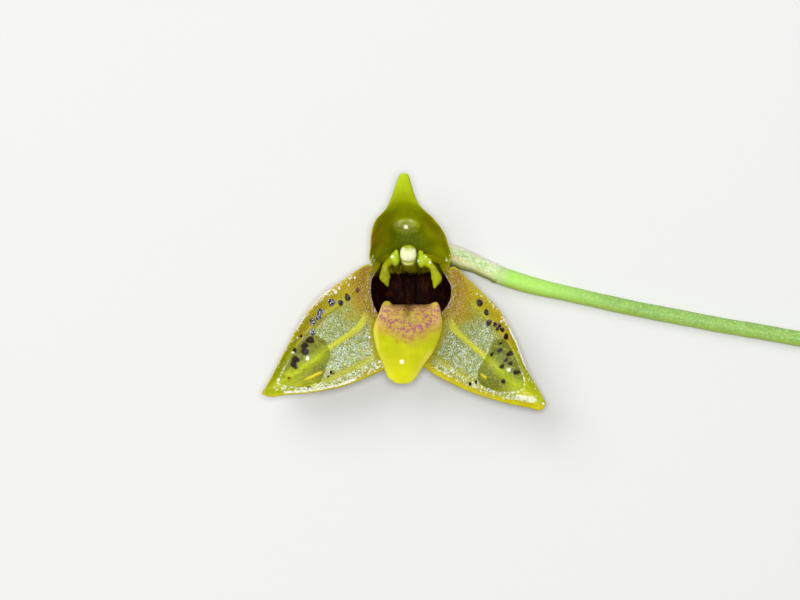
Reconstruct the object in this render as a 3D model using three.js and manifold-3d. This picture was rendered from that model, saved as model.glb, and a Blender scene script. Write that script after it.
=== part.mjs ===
// One Masdevallia flower, picked with a length of its stem and lying on its back.
// Millimetres, +Z up. The flower faces +Z, its dorsal sepal points to +Y and its stem runs to +X.
// The origin is the middle of the flat spot under the sepal cup, on the surface that it lies on.
import * as THREE from "three";
import { mergeVertices } from "three/addons/utils/BufferGeometryUtils.js";
import Module from "manifold-3d";

const wasm = await Module();
wasm.setup();

// ---- Driving dimensions ----
const SEAT_GAP = 0.07; // between two pieces that touch
const SEPAL_SEAT_GAP = 0.11; // between a sepal's base and the cup, measured at the rim's curve
const SEPAL_THICKNESS = 0.62;
const CUP_WALL = 0.6;
const CUP_FLAT_SHARE = 0.38; // the flat spot under the cup, as a share of its rim
const LIP_THICKNESS = 0.75;
const VEIN_HEIGHT = 0.12;
const VEIN_HALF_WIDTH = 0.2;
const WART_RISE = 0.5; // how far a wart stands out, as a share of its radius
const OVARY_RADIUS = 0.72;
const OVARY_BASE_SHARE = 0.8; // radius of the ovary's base as a share of its own radius
const OVARY_RIBS = 6;
const OVARY_RIB_SHARE = 0.06; // height of a rib as a share of the radius
const STEM_RADIUS = 0.58;

// How the blades are hollowed and swollen. Lengthwise places are shares of the length: a form is full
// grown at fullFrom, starts to fade at fadeFrom and is gone at fadeTo. margin is the share of the half
// width over which a hollow rises to the margin.
const DISH = { depth: 1.05, fullFrom: 0.34, fadeFrom: 0.7, fadeTo: 1, margin: 0.62 };
const HOOD = { depth: 1.3, fullFrom: 0.32, fadeFrom: 0.38, fadeTo: 0.7, margin: 0.85 };
const VEIN_RUN = { fullFrom: 0.12, fadeFrom: 0.82, fadeTo: 0.97 };
const GROOVE = { depth: 0.22, from: 0.15, fullFrom: 0.3, fadeFrom: 0.42, fadeTo: 0.58, halfWidth: 0.16 };
// The fleshy tail of the dorsal sepal: swell is its bulge as a share of its width.
const TAIL = { from: 0.55, fullFrom: 0.8, thickness: 1.25, swell: 0.22, swellFrom: 0.6, swellFull: 0.82 };
// The most that a blade's thickness may be, near its tip, as a share of its width.
const TIP_SHARE = 0.8;
const LIP_TIP_SHARE = 0.55;
const LIP_ARCH = 2.2; // how late the lip bends towards its margins: more is later
// How square the margin of a blade is: 2 is round, and more is squarer.
const FLAT_EDGE = 6;
const LIP_EDGE = 4;
const ROUND_EDGE = 2;

// ---- Outlines: [x, y, z] ----
// The rim of the cup, clockwise from the notch at the left of the dorsal sepal.
const CUP_RIM = [
  [-3.04, 2.0, 4.3],
  [-2.64, 2.65, 3.6],
  [-1.6, 2.94, 2.7],
  [-0.08, 3.06, 2.4],
  [1.45, 2.94, 2.7],
  [2.65, 2.57, 3.6],
  [3.15, 1.76, 4.3],
  [3.8, 0.56, 4.5],
  [3.87, -0.56, 4.5],
  [3.4, -1.68, 4.5],
  [2.4, -2.64, 4.4],
  [0.96, -3.4, 4.3],
  [-0.48, -3.68, 4.2],
  [-1.92, -3.28, 4.3],
  [-2.96, -2.32, 4.4],
  [-3.56, -1.12, 4.5],
  [-3.7, 0.0, 4.5],
  [-3.6, 1.04, 4.5],
];
// The points of the rim where two sepals meet.
const RIM_LEFT_NOTCH = 0;
const RIM_RIGHT_NOTCH = 6;
const RIM_BOTTOM = 12;
const SEAM_SHARE = 0.045; // half the seam between two sepals, in steps of the rim

const DORSAL_TIP = [-0.48, 9.39, 5.7];
const DORSAL_LEFT = [
  [-3.26, 2.56, 4.7],
  [-3.17, 3.44, 5.1],
  [-3.12, 4.39, 5.3],
  [-2.8, 5.51, 5.3],
  [-1.97, 6.47, 5.2],
  [-1.5, 7.41, 5.2],
  [-1.12, 8.5, 5.4],
  [-0.86, 9.16, 5.6],
];
const DORSAL_RIGHT = [
  [3.28, 2.64, 4.7],
  [3.12, 3.44, 5.1],
  [2.74, 4.54, 5.3],
  [1.92, 5.67, 5.3],
  [0.89, 6.65, 5.2],
  [0.45, 7.41, 5.2],
  [0.13, 8.4, 5.4],
  [-0.11, 9.13, 5.6],
];

const LEFT_TIP = [-11.93, -8.33, 4.2];
const LEFT_UPPER = [
  [-3.6, 2.0, 4.6],
  [-4.8, 1.2, 4.8],
  [-6.16, 0.24, 4.8],
  [-7.28, -0.6, 4.8],
  [-8.64, -2.32, 4.7],
  [-10.0, -4.8, 4.5],
  [-11.21, -7.12, 4.3],
];
const LEFT_LOWER = [
  [-0.56, -4.8, 4.3],
  [-1.04, -5.68, 4.5],
  [-2.12, -6.4, 4.6],
  [-3.6, -7.08, 4.7],
  [-5.6, -7.8, 4.7],
  [-8.0, -8.24, 4.6],
  [-10.0, -8.42, 4.4],
  [-11.13, -8.57, 4.3],
];

const RIGHT_TIP = [10.94, -9.13, 4.2];
const RIGHT_UPPER = [
  [3.6, 1.84, 4.6],
  [4.4, 1.12, 4.8],
  [6.0, -0.4, 4.8],
  [7.2, -1.68, 4.8],
  [8.44, -3.89, 4.7],
  [9.41, -6.4, 4.5],
  [10.38, -8.08, 4.3],
];
const RIGHT_LOWER = [
  [-0.34, -4.8, 4.3],
  [0.16, -5.52, 4.5],
  [1.22, -6.26, 4.6],
  [2.4, -7.04, 4.7],
  [4.8, -8.16, 4.7],
  [7.2, -8.94, 4.6],
  [9.64, -9.48, 4.4],
  [10.49, -9.63, 4.3],
];

// Where each vein of a lateral sepal runs, as a share of the way from its upper to its lower margin.
const VEINS = [0.25, 0.565, 0.84];

// Warts on the face of each lateral sepal: [x, y, radius].
const LEFT_WARTS = [
  [-4.2, 0.08, 0.16],
  [-5.0, -0.52, 0.22],
  [-5.56, -0.96, 0.22],
  [-6.32, -0.96, 0.28],
  [-7.29, -1.76, 0.26],
  [-7.37, -2.2, 0.24],
  [-7.85, -2.56, 0.28],
  [-7.85, -3.44, 0.24],
  [-8.77, -3.68, 0.13],
  [-8.05, -4.0, 0.3],
  [-8.49, -4.48, 0.24],
  [-8.49, -4.92, 0.24],
  [-9.25, -4.88, 0.2],
  [-9.13, -5.44, 0.28],
  [-9.29, -5.92, 0.24],
  [-6.32, -6.65, 0.14],
  [-6.57, -6.97, 0.13],
  [-8.09, -7.85, 0.14],
  [-9.69, -7.01, 0.13],
];
const RIGHT_WARTS = [
  [5.57, -1.0, 0.28],
  [6.13, -1.76, 0.24],
  [6.33, -2.56, 0.24],
  [6.85, -2.72, 0.2],
  [7.13, -2.96, 0.24],
  [7.37, -3.2, 0.2],
  [7.73, -3.76, 0.22],
  [7.29, -4.36, 0.14],
  [7.25, -4.8, 0.16],
  [6.61, -5.16, 0.18],
  [7.97, -5.12, 0.21],
  [7.73, -5.56, 0.16],
  [8.37, -5.56, 0.14],
  [8.13, -5.84, 0.14],
  [7.41, -6.12, 0.19],
  [8.45, -6.53, 0.21],
  [7.49, -7.33, 0.16],
  [4.8, -7.53, 0.14],
  [5.25, -7.41, 0.14],
  [6.29, -8.01, 0.16],
];

// Stations down the lip, from its claw in the cup, over its bend, to its blunt tip.
// left and right are x at the margins, lift is how far the margins stand out of the face.
const LIP_STATIONS = [
  { left: -0.64, right: 0.53, y: -1.0, z: 1.35, lift: 0.1 },
  { left: -0.8, right: 0.69, y: -1.02, z: 2.6, lift: 0.25 },
  { left: -1.28, right: 1.2, y: -1.06, z: 4.0, lift: 0.45 },
  { left: -2.2, right: 2.28, y: -1.12, z: 5.2, lift: 0.4 },
  { left: -2.36, right: 2.43, y: -1.34, z: 6.0, lift: 0.1 },
  { left: -2.53, right: 2.47, y: -1.72, z: 6.4, lift: -0.15 },
  { left: -2.77, right: 2.58, y: -2.39, z: 6.65, lift: -0.4 },
  { left: -2.95, right: 2.52, y: -3.35, z: 6.65, lift: -0.5 },
  { left: -2.81, right: 2.23, y: -4.39, z: 6.45, lift: -0.5 },
  { left: -2.52, right: 1.71, y: -5.42, z: 6.2, lift: -0.45 },
  { left: -2.12, right: 0.98, y: -6.39, z: 5.8, lift: -0.35 },
  { left: -1.78, right: 0.46, y: -7.1, z: 5.5, lift: -0.2 },
  { left: -1.25, right: 0.08, y: -7.46, z: 5.32, lift: -0.1 },
  { left: -0.7, right: -0.45, y: -7.55, z: 5.26, lift: 0.0 },
];

// Limbs: stations of [x, y, z, half width, half thickness].
const PETAL_LEFT = [
  [-1.1, 1.62, 2.05, 0.28, 0.3],
  [-1.17, 2.0, 3.2, 0.3, 0.3],
  [-1.28, 2.36, 4.1, 0.33, 0.31],
  [-1.66, 2.24, 4.5, 0.33, 0.31],
  [-1.96, 1.84, 4.65, 0.35, 0.31],
  [-2.01, 1.44, 4.64, 0.42, 0.31],
  [-2.0, 1.0, 4.58, 0.49, 0.31],
  [-1.88, 0.6, 4.48, 0.25, 0.29],
  [-1.77, 0.3, 4.38, 0.08, 0.2],
];
const PETAL_RIGHT = [
  [1.12, 1.62, 2.05, 0.28, 0.3],
  [1.1, 1.95, 3.2, 0.3, 0.3],
  [1.06, 2.26, 4.1, 0.33, 0.31],
  [1.36, 2.16, 4.5, 0.33, 0.31],
  [1.76, 1.84, 4.65, 0.34, 0.31],
  [1.96, 1.44, 4.64, 0.38, 0.31],
  [2.13, 0.9, 4.58, 0.45, 0.31],
  [2.02, 0.46, 4.48, 0.23, 0.29],
  [1.94, 0.16, 4.38, 0.08, 0.2],
];
// The rounded boss at the shoulder of each petal, beside the anther cap: centre and radii.
const BOSS_LEFT = { at: [-1.2, 2.5, 4.25], radii: [0.36, 0.62, 0.45] };
const BOSS_RIGHT = { at: [0.92, 2.4, 4.25], radii: [0.33, 0.62, 0.45] };

const COLUMN_FOOT = [
  [0.01, 1.95, 1.72, 0.9, 0.24],
  [0.01, 1.4, 1.25, 0.85, 0.25],
  [0.01, 0.4, 1.0, 0.6, 0.26],
  [-0.03, -1.2, 1.0, 0.55, 0.26],
];
const COLUMN_BODY = [
  [0.0, 1.5, 1.15, 0.72, 0.5],
  [0.0, 1.75, 2.3, 0.66, 0.52],
  [-0.08, 2.2, 3.5, 0.66, 0.56],
  [-0.14, 2.6, 4.35, 0.66, 0.64],
];
const ANTHER_CAP = { at: [-0.14, 2.91, 4.78], radii: [0.66, 0.7, 0.52] };

const OVARY_LINE = [
  [0.1, 2.1, 0.98],
  [0.73, 2.78, 0.86],
  [1.46, 3.13, 0.82],
  [2.51, 3.17, 0.83],
  [3.64, 2.87, 0.85],
  [4.85, 2.36, 0.86],
  [5.98, 1.8, 0.85],
  [7.24, 1.2, 0.85],
];
const STEM_LINE = [
  [7.36, 1.15, 0.85],
  [8.88, 0.65, 0.74],
  [10.5, 0.21, 0.65],
  [12.11, -0.15, 0.6],
  [15.34, -0.88, 0.58],
  [18.57, -1.58, 0.58],
  [21.8, -2.19, 0.58],
  [25.03, -2.82, 0.58],
  [28.26, -3.36, 0.58],
  [31.49, -3.94, 0.58],
  [35.0, -4.56, 0.58],
];

// ---- Numbers and curves ----
const clamp = THREE.MathUtils.clamp;
const lerp = THREE.MathUtils.lerp;
const rise = (from, to, x) => THREE.MathUtils.smoothstep(x, from, to);
const vector = (numbers) => new THREE.Vector3(...numbers);

function curveThrough(points, closed = false) {
  return new THREE.CatmullRomCurve3(points.map(vector), closed, "catmullrom", 0.5);
}

// The number at t (0 to 1) along a list of numbers, joined by a smooth curve.
function along(values, t) {
  const place = clamp(t, 0, 1) * (values.length - 1);
  const start = Math.min(Math.floor(place), values.length - 2);
  const f = place - start;
  const at = (i) => values[clamp(i, 0, values.length - 1)];
  const [a, b, c, d] = [at(start - 1), at(start), at(start + 1), at(start + 2)];
  const slopeB = (c - a) / 2;
  const slopeC = (d - b) / 2;
  const h = f * f * (3 - 2 * f);
  return lerp(b, c, h) + slopeB * f * (1 - f) * (1 - f) - slopeC * f * f * (1 - f);
}

const rimCurve = curveThrough(CUP_RIM, true);

// A point of the cup's rim, moved outwards in plan. place counts the rim's points.
function rimPoint(place, outwards) {
  const t = THREE.MathUtils.euclideanModulo(place / CUP_RIM.length, 1);
  const point = rimCurve.getPoint(t);
  const tangent = rimCurve.getTangent(t);
  const out = new THREE.Vector3(-tangent.y, tangent.x, 0).normalize();
  return point.addScaledVector(out, outwards);
}

// ---- Meshes ----
// Collects triangles, welding points that coincide and dropping triangles that collapse.
class Skin {
  constructor() {
    this.positions = [];
    this.indices = [];
    this.seen = new Map();
  }
  vertex(point) {
    const key = point
      .toArray()
      .map((n) => Math.round(n * 1e4))
      .join();
    if (!this.seen.has(key)) {
      this.seen.set(key, this.positions.length / 3);
      this.positions.push(point.x, point.y, point.z);
    }
    return this.seen.get(key);
  }
  triangle(a, b, c) {
    const [i, j, k] = [this.vertex(a), this.vertex(b), this.vertex(c)];
    if (i !== j && j !== k && k !== i) this.indices.push(i, j, k);
  }
  quad(a, b, c, d) {
    this.triangle(a, b, c);
    this.triangle(a, c, d);
  }
  geometry() {
    const made = new THREE.BufferGeometry();
    made.setAttribute("position", new THREE.Float32BufferAttribute(this.positions, 3));
    made.setIndex(this.indices);
    return made;
  }
}

// A closed skin through rings of points, with a fan at each end.
function ringsGeometry(rings) {
  const skin = new Skin();
  const middle = (ring) =>
    ring.reduce((sum, p) => sum.add(p), new THREE.Vector3()).divideScalar(ring.length);
  const sides = rings[0].length;
  for (let r = 0; r + 1 < rings.length; r++) {
    for (let s = 0; s < sides; s++) {
      const next = (s + 1) % sides;
      skin.quad(rings[r][s], rings[r][next], rings[r + 1][next], rings[r + 1][s]);
    }
  }
  const first = rings[0];
  const last = rings[rings.length - 1];
  const firstMiddle = middle(first);
  const lastMiddle = middle(last);
  for (let s = 0; s < sides; s++) {
    const next = (s + 1) % sides;
    skin.triangle(firstMiddle, first[next], first[s]);
    skin.triangle(lastMiddle, last[s], last[next]);
  }
  return skin.geometry();
}

// The outward normal of a face given as front(u, v).
function faceNormal(front, u, v) {
  const step = 0.01;
  const alongV = front(u, Math.min(v + step, 1)).sub(front(u, Math.max(v - step, 0)));
  const alongU = front(Math.min(u + step, 1), v).sub(front(Math.max(u - step, 0), v));
  return alongV.cross(alongU).normalize();
}

// How far the back of a blade lies behind its front: along the face's normal, or straight down, which
// keeps the back within the outline of the front.
const alongNormal = (normal, depth) => normal.clone().multiplyScalar(-depth);
const straightDown = (normal, depth) => new THREE.Vector3(0, 0, -depth / Math.max(normal.z, 0.6));

// A blade: its front face, a back face behind it, round margins and a base closed by a flat strip.
// Both faces are split into triangles alike.
function bladeGeometry({ front, thickness, backwards, edgePower, rows, columns }) {
  const fronts = rows.map((u) => columns.map((v) => front(u, v)));
  const backs = rows.map((u, r) =>
    columns.map((v, c) => {
      const edge = Math.sqrt(Math.max(0, 1 - Math.abs(2 * v - 1) ** edgePower(u)));
      const depth = thickness(u) * edge;
      if (depth === 0) return fronts[r][c].clone();
      return fronts[r][c].clone().add(backwards(faceNormal(front, u, v), depth));
    }),
  );
  const skin = new Skin();
  for (let r = 0; r + 1 < rows.length; r++) {
    for (let c = 0; c + 1 < columns.length; c++) {
      skin.quad(fronts[r][c], fronts[r][c + 1], fronts[r + 1][c + 1], fronts[r + 1][c]);
      const back = [backs[r][c], backs[r][c + 1], backs[r + 1][c + 1], backs[r + 1][c]];
      skin.triangle(back[0], back[2], back[1]);
      skin.triangle(back[0], back[3], back[2]);
    }
  }
  for (let c = 0; c + 1 < columns.length; c++) {
    skin.quad(backs[0][c], backs[0][c + 1], fronts[0][c + 1], fronts[0][c]);
    const end = rows.length - 1;
    skin.quad(fronts[end][c], fronts[end][c + 1], backs[end][c + 1], backs[end][c]);
  }
  return skin.geometry();
}

// A limb of elliptical section along stations of [x, y, z, half width, half thickness].
// across is the direction of its width. Both ends are rounded over roundEnd mm.
function limbGeometry({ stations, across, sides, steps, roundEnd }) {
  const column = (i) => stations.map((station) => station[i]);
  const middle = (t) => new THREE.Vector3(...[0, 1, 2].map((i) => along(column(i), t)));
  const length = curveThrough(stations.map((station) => station.slice(0, 3))).getLength();
  const ease = (t) => {
    const toEnd = Math.min(t, 1 - t) * length;
    if (toEnd >= roundEnd) return 1;
    return Math.max(0.3, Math.sqrt(1 - (1 - toEnd / roundEnd) ** 2));
  };
  const endStep = (0.5 * roundEnd) / length;
  const between = Array.from({ length: steps + 1 }, (_, i) => lerp(endStep, 1 - endStep, i / steps));
  const places = [0, ...between, 1];
  const rings = places.map((t) => {
    const tangent = middle(Math.min(t + 0.01, 1)).sub(middle(Math.max(t - 0.01, 0)));
    tangent.normalize();
    const wide = across.clone().addScaledVector(tangent, -across.dot(tangent)).normalize();
    const thick = tangent.clone().cross(wide);
    const scale = ease(t);
    return Array.from({ length: sides }, (_, s) => {
      const angle = (2 * Math.PI * s) / sides;
      return middle(t)
        .addScaledVector(wide, Math.cos(angle) * along(column(3), t) * scale)
        .addScaledVector(thick, Math.sin(angle) * along(column(4), t) * scale);
    });
  });
  return ringsGeometry(rings);
}

function ellipsoidGeometry({ at, radii, grow = 0, turns = 14, rings = 10 }) {
  const ball = new THREE.SphereGeometry(1, turns, rings);
  ball.scale(radii[0] + grow, radii[1] + grow, radii[2] + grow);
  ball.translate(...at);
  return ball;
}

// ---- Solids ----
function solid(geometry) {
  const bare = geometry.clone();
  bare.deleteAttribute("normal");
  bare.deleteAttribute("uv");
  const merged = mergeVertices(bare, 1e-4);
  const mesh = new wasm.Mesh({
    numProp: 3,
    vertProperties: merged.attributes.position.array,
    triVerts: new Uint32Array(merged.index.array),
  });
  return new wasm.Manifold(mesh);
}

function geometryOf(made) {
  const mesh = made.getMesh();
  const geometry = new THREE.BufferGeometry();
  geometry.setAttribute("position", new THREE.BufferAttribute(mesh.vertProperties, 3));
  geometry.setIndex(new THREE.BufferAttribute(mesh.triVerts, 1));
  return geometry;
}

// ---- Sepal cup ----
const CUP_SIDES = 36;
const CUP_LEVELS = 8;

// One ring of the cup's wall. level runs from 0 at the rim to 1 at the bottom.
function cupRing(outwards, floor, share, level) {
  const angle = (level * Math.PI) / 2;
  const plan = share + (1 - share) * Math.cos(angle) ** 0.8;
  const height = 1 - Math.sin(angle) ** 1.1;
  return Array.from({ length: CUP_SIDES }, (_, s) => {
    const point = rimPoint((-s * CUP_RIM.length) / CUP_SIDES, outwards);
    return new THREE.Vector3(point.x * plan, point.y * plan, lerp(floor, point.z, height));
  });
}

// The cup, or the cup grown by a margin on its outside, to cut what stands against it.
function cupSolid({ outside = 0, filled = false } = {}) {
  const levels = Array.from({ length: CUP_LEVELS + 1 }, (_, i) => i / CUP_LEVELS);
  const outer = levels.map((level) => cupRing(outside, -outside, CUP_FLAT_SHARE, level)).reverse();
  if (filled) return solid(ringsGeometry(outer));
  const inner = levels.map((level) => cupRing(-CUP_WALL, CUP_WALL, CUP_FLAT_SHARE * 0.8, level));
  return solid(ringsGeometry([...outer, ...inner]));
}

// ---- Sepals ----
// A face between two margins that meet at the tip, from a base that follows the cup's rim.
// baseFade is how soon the base's curve is lost on the way to the tip: more is sooner.
function sepalFace({ rimFrom, rimTo, firstMargin, lastMargin, tip, baseFade, relief }) {
  const base = (v) =>
    rimPoint(lerp(rimFrom + SEAM_SHARE, rimTo - SEAM_SHARE, v), SEPAL_SEAT_GAP);
  const margin = (points, v) => curveThrough([base(v).toArray(), ...points, tip]);
  const first = margin(firstMargin, 0);
  const last = margin(lastMargin, 1);
  const place = (u, v) => {
    const point = first.getPointAt(u).lerp(last.getPointAt(u), v);
    const chord = base(0).lerp(base(1), v);
    return point.add(base(v).sub(chord).multiplyScalar((1 - u) ** baseFade));
  };
  const width = (u) => first.getPointAt(u).distanceTo(last.getPointAt(u));
  return {
    width,
    front: (u, v) => {
      const point = place(u, v);
      point.z += relief(u, v, width(u));
      return point;
    },
  };
}

// The raised veins of a lateral sepal. veins are shares of the way across.
function veinRelief(veins, u, v, width) {
  const fade = rise(0, VEIN_RUN.fullFrom, u) * (1 - rise(VEIN_RUN.fadeFrom, VEIN_RUN.fadeTo, u));
  const bump = (vein) => Math.exp(-((((v - vein) * width) / VEIN_HALF_WIDTH) ** 2));
  return VEIN_HEIGHT * fade * veins.reduce((sum, vein) => sum + bump(vein), 0);
}

// The depth of a hollow between the margins.
function hollow({ depth, fullFrom, fadeFrom, fadeTo, margin }, u, v) {
  const lengthwise = rise(0, fullFrom, u) * (1 - rise(fadeFrom, fadeTo, u));
  return depth * lengthwise * rise(0, margin, 1 - Math.abs(2 * v - 1));
}

function lateralRelief(veins) {
  return (u, v, width) => {
    return veinRelief(veins, u, v, width) - hollow(DISH, u, v);
  };
}

function dorsalRelief(u, v, width) {
  const bulge = TAIL.swell * width * rise(TAIL.swellFrom, TAIL.swellFull, u) * (1 - (2 * v - 1) ** 2);
  return bulge - hollow(HOOD, u, v);
}

// Places across a blade, closer together at its margins.
function bladeColumns(count) {
  return Array.from({ length: count + 1 }, (_, i) => {
    const even = i / count;
    return lerp(even, 0.5 - 0.5 * Math.cos(Math.PI * even), 0.75);
  });
}

// The same, with a place on every vein and one on each side of it.
function veinedColumns(veins) {
  const beside = 0.042;
  const onVeins = veins.flatMap((vein) => [vein - beside, vein, vein + beside]);
  return [0, 0.03, 0.1, ...onVeins, 0.4, 0.7, 0.93, 0.98, 1].sort((a, b) => a - b);
}

const bladeRows = (count) => Array.from({ length: count + 1 }, (_, i) => i / count);

function lateralSepal({ warts, veins, ...outline }) {
  const { front, width } = sepalFace({ ...outline, relief: lateralRelief(veins) });
  const blade = bladeGeometry({
    front,
    thickness: (u) => Math.min(SEPAL_THICKNESS, TIP_SHARE * width(u)),
    backwards: straightDown,
    edgePower: () => FLAT_EDGE,
    rows: bladeRows(18),
    columns: veinedColumns(veins),
  });
  return warts.reduce((sum, wart) => sum.add(wartSolid(front, wart)), solid(blade));
}

// The place on a face that lies above x, y, found on ever finer grids.
function placeOnFace(front, x, y) {
  let best = { u: 0.5, v: 0.5 };
  for (let reach = 0.5; reach > 0.002; reach *= 0.4) {
    const centre = best;
    let nearest = Infinity;
    for (let i = -4; i <= 4; i++) {
      for (let j = -4; j <= 4; j++) {
        const u = clamp(centre.u + (i * reach) / 4, 0, 1);
        const v = clamp(centre.v + (j * reach) / 4, 0, 1);
        const point = front(u, v);
        const distance = Math.hypot(point.x - x, point.y - y);
        if (distance < nearest) {
          nearest = distance;
          best = { u, v };
        }
      }
    }
  }
  return best;
}

// A low dome with few sides, sunk into the face it grows from.
function wartSolid(front, [x, y, radius]) {
  const { u, v } = placeOnFace(front, x, y);
  const normal = faceNormal(front, u, v);
  const dome = new THREE.SphereGeometry(radius, 7, 4);
  dome.rotateX(Math.PI / 2);
  dome.applyQuaternion(new THREE.Quaternion().setFromUnitVectors(new THREE.Vector3(0, 0, 1), normal));
  const centre = front(u, v).addScaledVector(normal, (WART_RISE - 1) * radius);
  dome.translate(...centre.toArray());
  return solid(dome);
}

function dorsalSepal() {
  const { front, width } = sepalFace({
    rimFrom: RIM_LEFT_NOTCH,
    rimTo: RIM_RIGHT_NOTCH,
    firstMargin: DORSAL_LEFT,
    lastMargin: DORSAL_RIGHT,
    tip: DORSAL_TIP,
    baseFade: 1.8,
    relief: dorsalRelief,
  });
  const tail = (u) => rise(TAIL.from, TAIL.fullFrom, u);
  const blade = bladeGeometry({
    front,
    thickness: (u) => lerp(SEPAL_THICKNESS, Math.min(TAIL.thickness, TIP_SHARE * width(u)), tail(u)),
    backwards: straightDown,
    edgePower: (u) => lerp(FLAT_EDGE, ROUND_EDGE, tail(u)),
    rows: bladeRows(22),
    columns: bladeColumns(14),
  });
  return solid(blade);
}

// ---- Lip ----
function lipSolid() {
  const station = (key) => LIP_STATIONS.map((s) => s[key]);
  const spine = (u) => new THREE.Vector3(0, along(station("y"), u), along(station("z"), u));
  // The face turns from +Y on the claw, over the bend, to +Z on the blade.
  const facing = (u) => {
    const tangent = spine(Math.min(u + 0.02, 1)).sub(spine(Math.max(u - 0.02, 0))).normalize();
    return new THREE.Vector3(-1, 0, 0).cross(tangent);
  };
  const groove = (u, aside) => {
    const run = rise(GROOVE.from, GROOVE.fullFrom, u) * (1 - rise(GROOVE.fadeFrom, GROOVE.fadeTo, u));
    return GROOVE.depth * run * Math.exp(-((aside / GROOVE.halfWidth) ** 2));
  };
  const front = (u, v) => {
    const aside = Math.abs(2 * v - 1);
    const point = spine(u);
    point.x = lerp(along(station("right"), u), along(station("left"), u), v);
    const lift = along(station("lift"), u) * aside ** LIP_ARCH;
    return point.addScaledVector(facing(u), lift - groove(u, aside));
  };
  const width = (u) => along(station("right"), u) - along(station("left"), u);
  const blade = bladeGeometry({
    front,
    thickness: (u) => Math.min(LIP_THICKNESS, LIP_TIP_SHARE * width(u)),
    backwards: alongNormal,
    edgePower: () => LIP_EDGE,
    rows: bladeRows(24),
    columns: bladeColumns(14),
  });
  return solid(blade);
}

// ---- Column, anther cap and petals ----
const capBall = (grow) => solid(ellipsoidGeometry({ ...ANTHER_CAP, grow }));

const bodyShape = { across: new THREE.Vector3(1, 0, 0), sides: 14, steps: 8, roundEnd: 0.3 };

function columnSolid() {
  const body = solid(limbGeometry({ stations: COLUMN_BODY, ...bodyShape }));
  const foot = solid(limbGeometry({ stations: COLUMN_FOOT, ...bodyShape, roundEnd: 0.15 }));
  return body.add(foot).subtract(capBall(SEAT_GAP));
}

function petalSolid(stations, boss) {
  const arm = limbGeometry({
    stations,
    across: new THREE.Vector3(1, 0.15, 0),
    sides: 10,
    steps: 14,
    roundEnd: 0.2,
  });
  return solid(arm).add(solid(ellipsoidGeometry({ ...boss, turns: 12, rings: 8 })));
}

// ---- Ovary and stem ----
// A tube of the given section radius at t (0 to 1) and angle, along a curve, with flat ends.
function tubeSolid(points, steps, sides, radius) {
  const line = curveThrough(points);
  const up = new THREE.Vector3(0, 0, 1);
  const rings = Array.from({ length: steps + 1 }, (_, i) => {
    const t = i / steps;
    const centre = line.getPointAt(t);
    const tangent = line.getTangentAt(t);
    const aside = up.clone().cross(tangent).normalize();
    const above = tangent.clone().cross(aside);
    return Array.from({ length: sides }, (_, s) => {
      const angle = (2 * Math.PI * (s + 0.5)) / sides - Math.PI / 2;
      return centre
        .clone()
        .addScaledVector(aside, Math.cos(angle) * radius(t, angle))
        .addScaledVector(above, Math.sin(angle) * radius(t, angle));
    });
  });
  return solid(ringsGeometry(rings));
}

function ovarySolid() {
  const radius = (t, angle) => {
    const rib = 1 + OVARY_RIB_SHARE * Math.cos(OVARY_RIBS * angle);
    return OVARY_RADIUS * lerp(OVARY_BASE_SHARE, 1, rise(0, 0.35, t)) * rib;
  };
  const tube = tubeSolid(OVARY_LINE, 18, 3 * OVARY_RIBS, radius);
  return tube.subtract(cupSolid({ outside: SEAT_GAP, filled: true }));
}

function stemSolid() {
  const sides = 10;
  // Measured to the middle of a side, so that the lowest side lies flat on the surface.
  const reach = 1 / Math.cos(Math.PI / sides);
  const radius = (t) => reach * lerp(OVARY_RADIUS, STEM_RADIUS, rise(0, 0.14, t));
  return tubeSolid(STEM_LINE, 36, sides, radius);
}

// ---- The flower ----
const mirroredVeins = VEINS.map((vein) => 1 - vein);

const pieces = {
  sepal_cup: { made: cupSolid(), color: 0x3a1214, roughness: 0.5 },
  dorsal_sepal: { made: dorsalSepal(), color: 0x8c8c14, roughness: 0.45 },
  lateral_sepal_left: {
    made: lateralSepal({
      rimFrom: RIM_BOTTOM,
      rimTo: CUP_RIM.length,
      firstMargin: LEFT_LOWER,
      lastMargin: LEFT_UPPER,
      tip: LEFT_TIP,
      baseFade: 1,
      veins: mirroredVeins,
      warts: LEFT_WARTS,
    }),
    color: 0xb2ab34,
    roughness: 0.45,
  },
  lateral_sepal_right: {
    made: lateralSepal({
      rimFrom: RIM_RIGHT_NOTCH,
      rimTo: RIM_BOTTOM,
      firstMargin: RIGHT_UPPER,
      lastMargin: RIGHT_LOWER,
      tip: RIGHT_TIP,
      baseFade: 1,
      veins: VEINS,
      warts: RIGHT_WARTS,
    }),
    color: 0xb2ab34,
    roughness: 0.45,
  },
  petal_left: { made: petalSolid(PETAL_LEFT, BOSS_LEFT), color: 0xb5bd1a, roughness: 0.4 },
  petal_right: { made: petalSolid(PETAL_RIGHT, BOSS_RIGHT), color: 0xb5bd1a, roughness: 0.4 },
  column: { made: columnSolid(), color: 0x8f9a2c, roughness: 0.4 },
  anther_cap: { made: capBall(0), color: 0xf4f1cf, roughness: 0.4 },
  lip: { made: lipSolid(), color: 0xd6cb2e, roughness: 0.3 },
  ovary: { made: ovarySolid(), color: 0xd3d9a4, roughness: 0.5 },
  stem: { made: stemSolid(), color: 0xa2bf4a, roughness: 0.5 },
};

const flower = new THREE.Group();
for (const [name, { made, color, roughness }] of Object.entries(pieces)) {
  const material = new THREE.MeshStandardMaterial({ color, roughness, metalness: 0 });
  const mesh = new THREE.Mesh(geometryOf(made), material);
  mesh.name = name;
  flower.add(mesh);
}

export default flower;
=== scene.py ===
# The looks of a masdevallia flower that lies on its back on a pale table, seen from straight above.
# Shapes are worked out in millimetres, in the frame of the CAD model, and become metres in piece().
import math

import bmesh
import bpy
import numpy as np
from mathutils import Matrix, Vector
from mathutils.bvhtree import BVHTree


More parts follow.
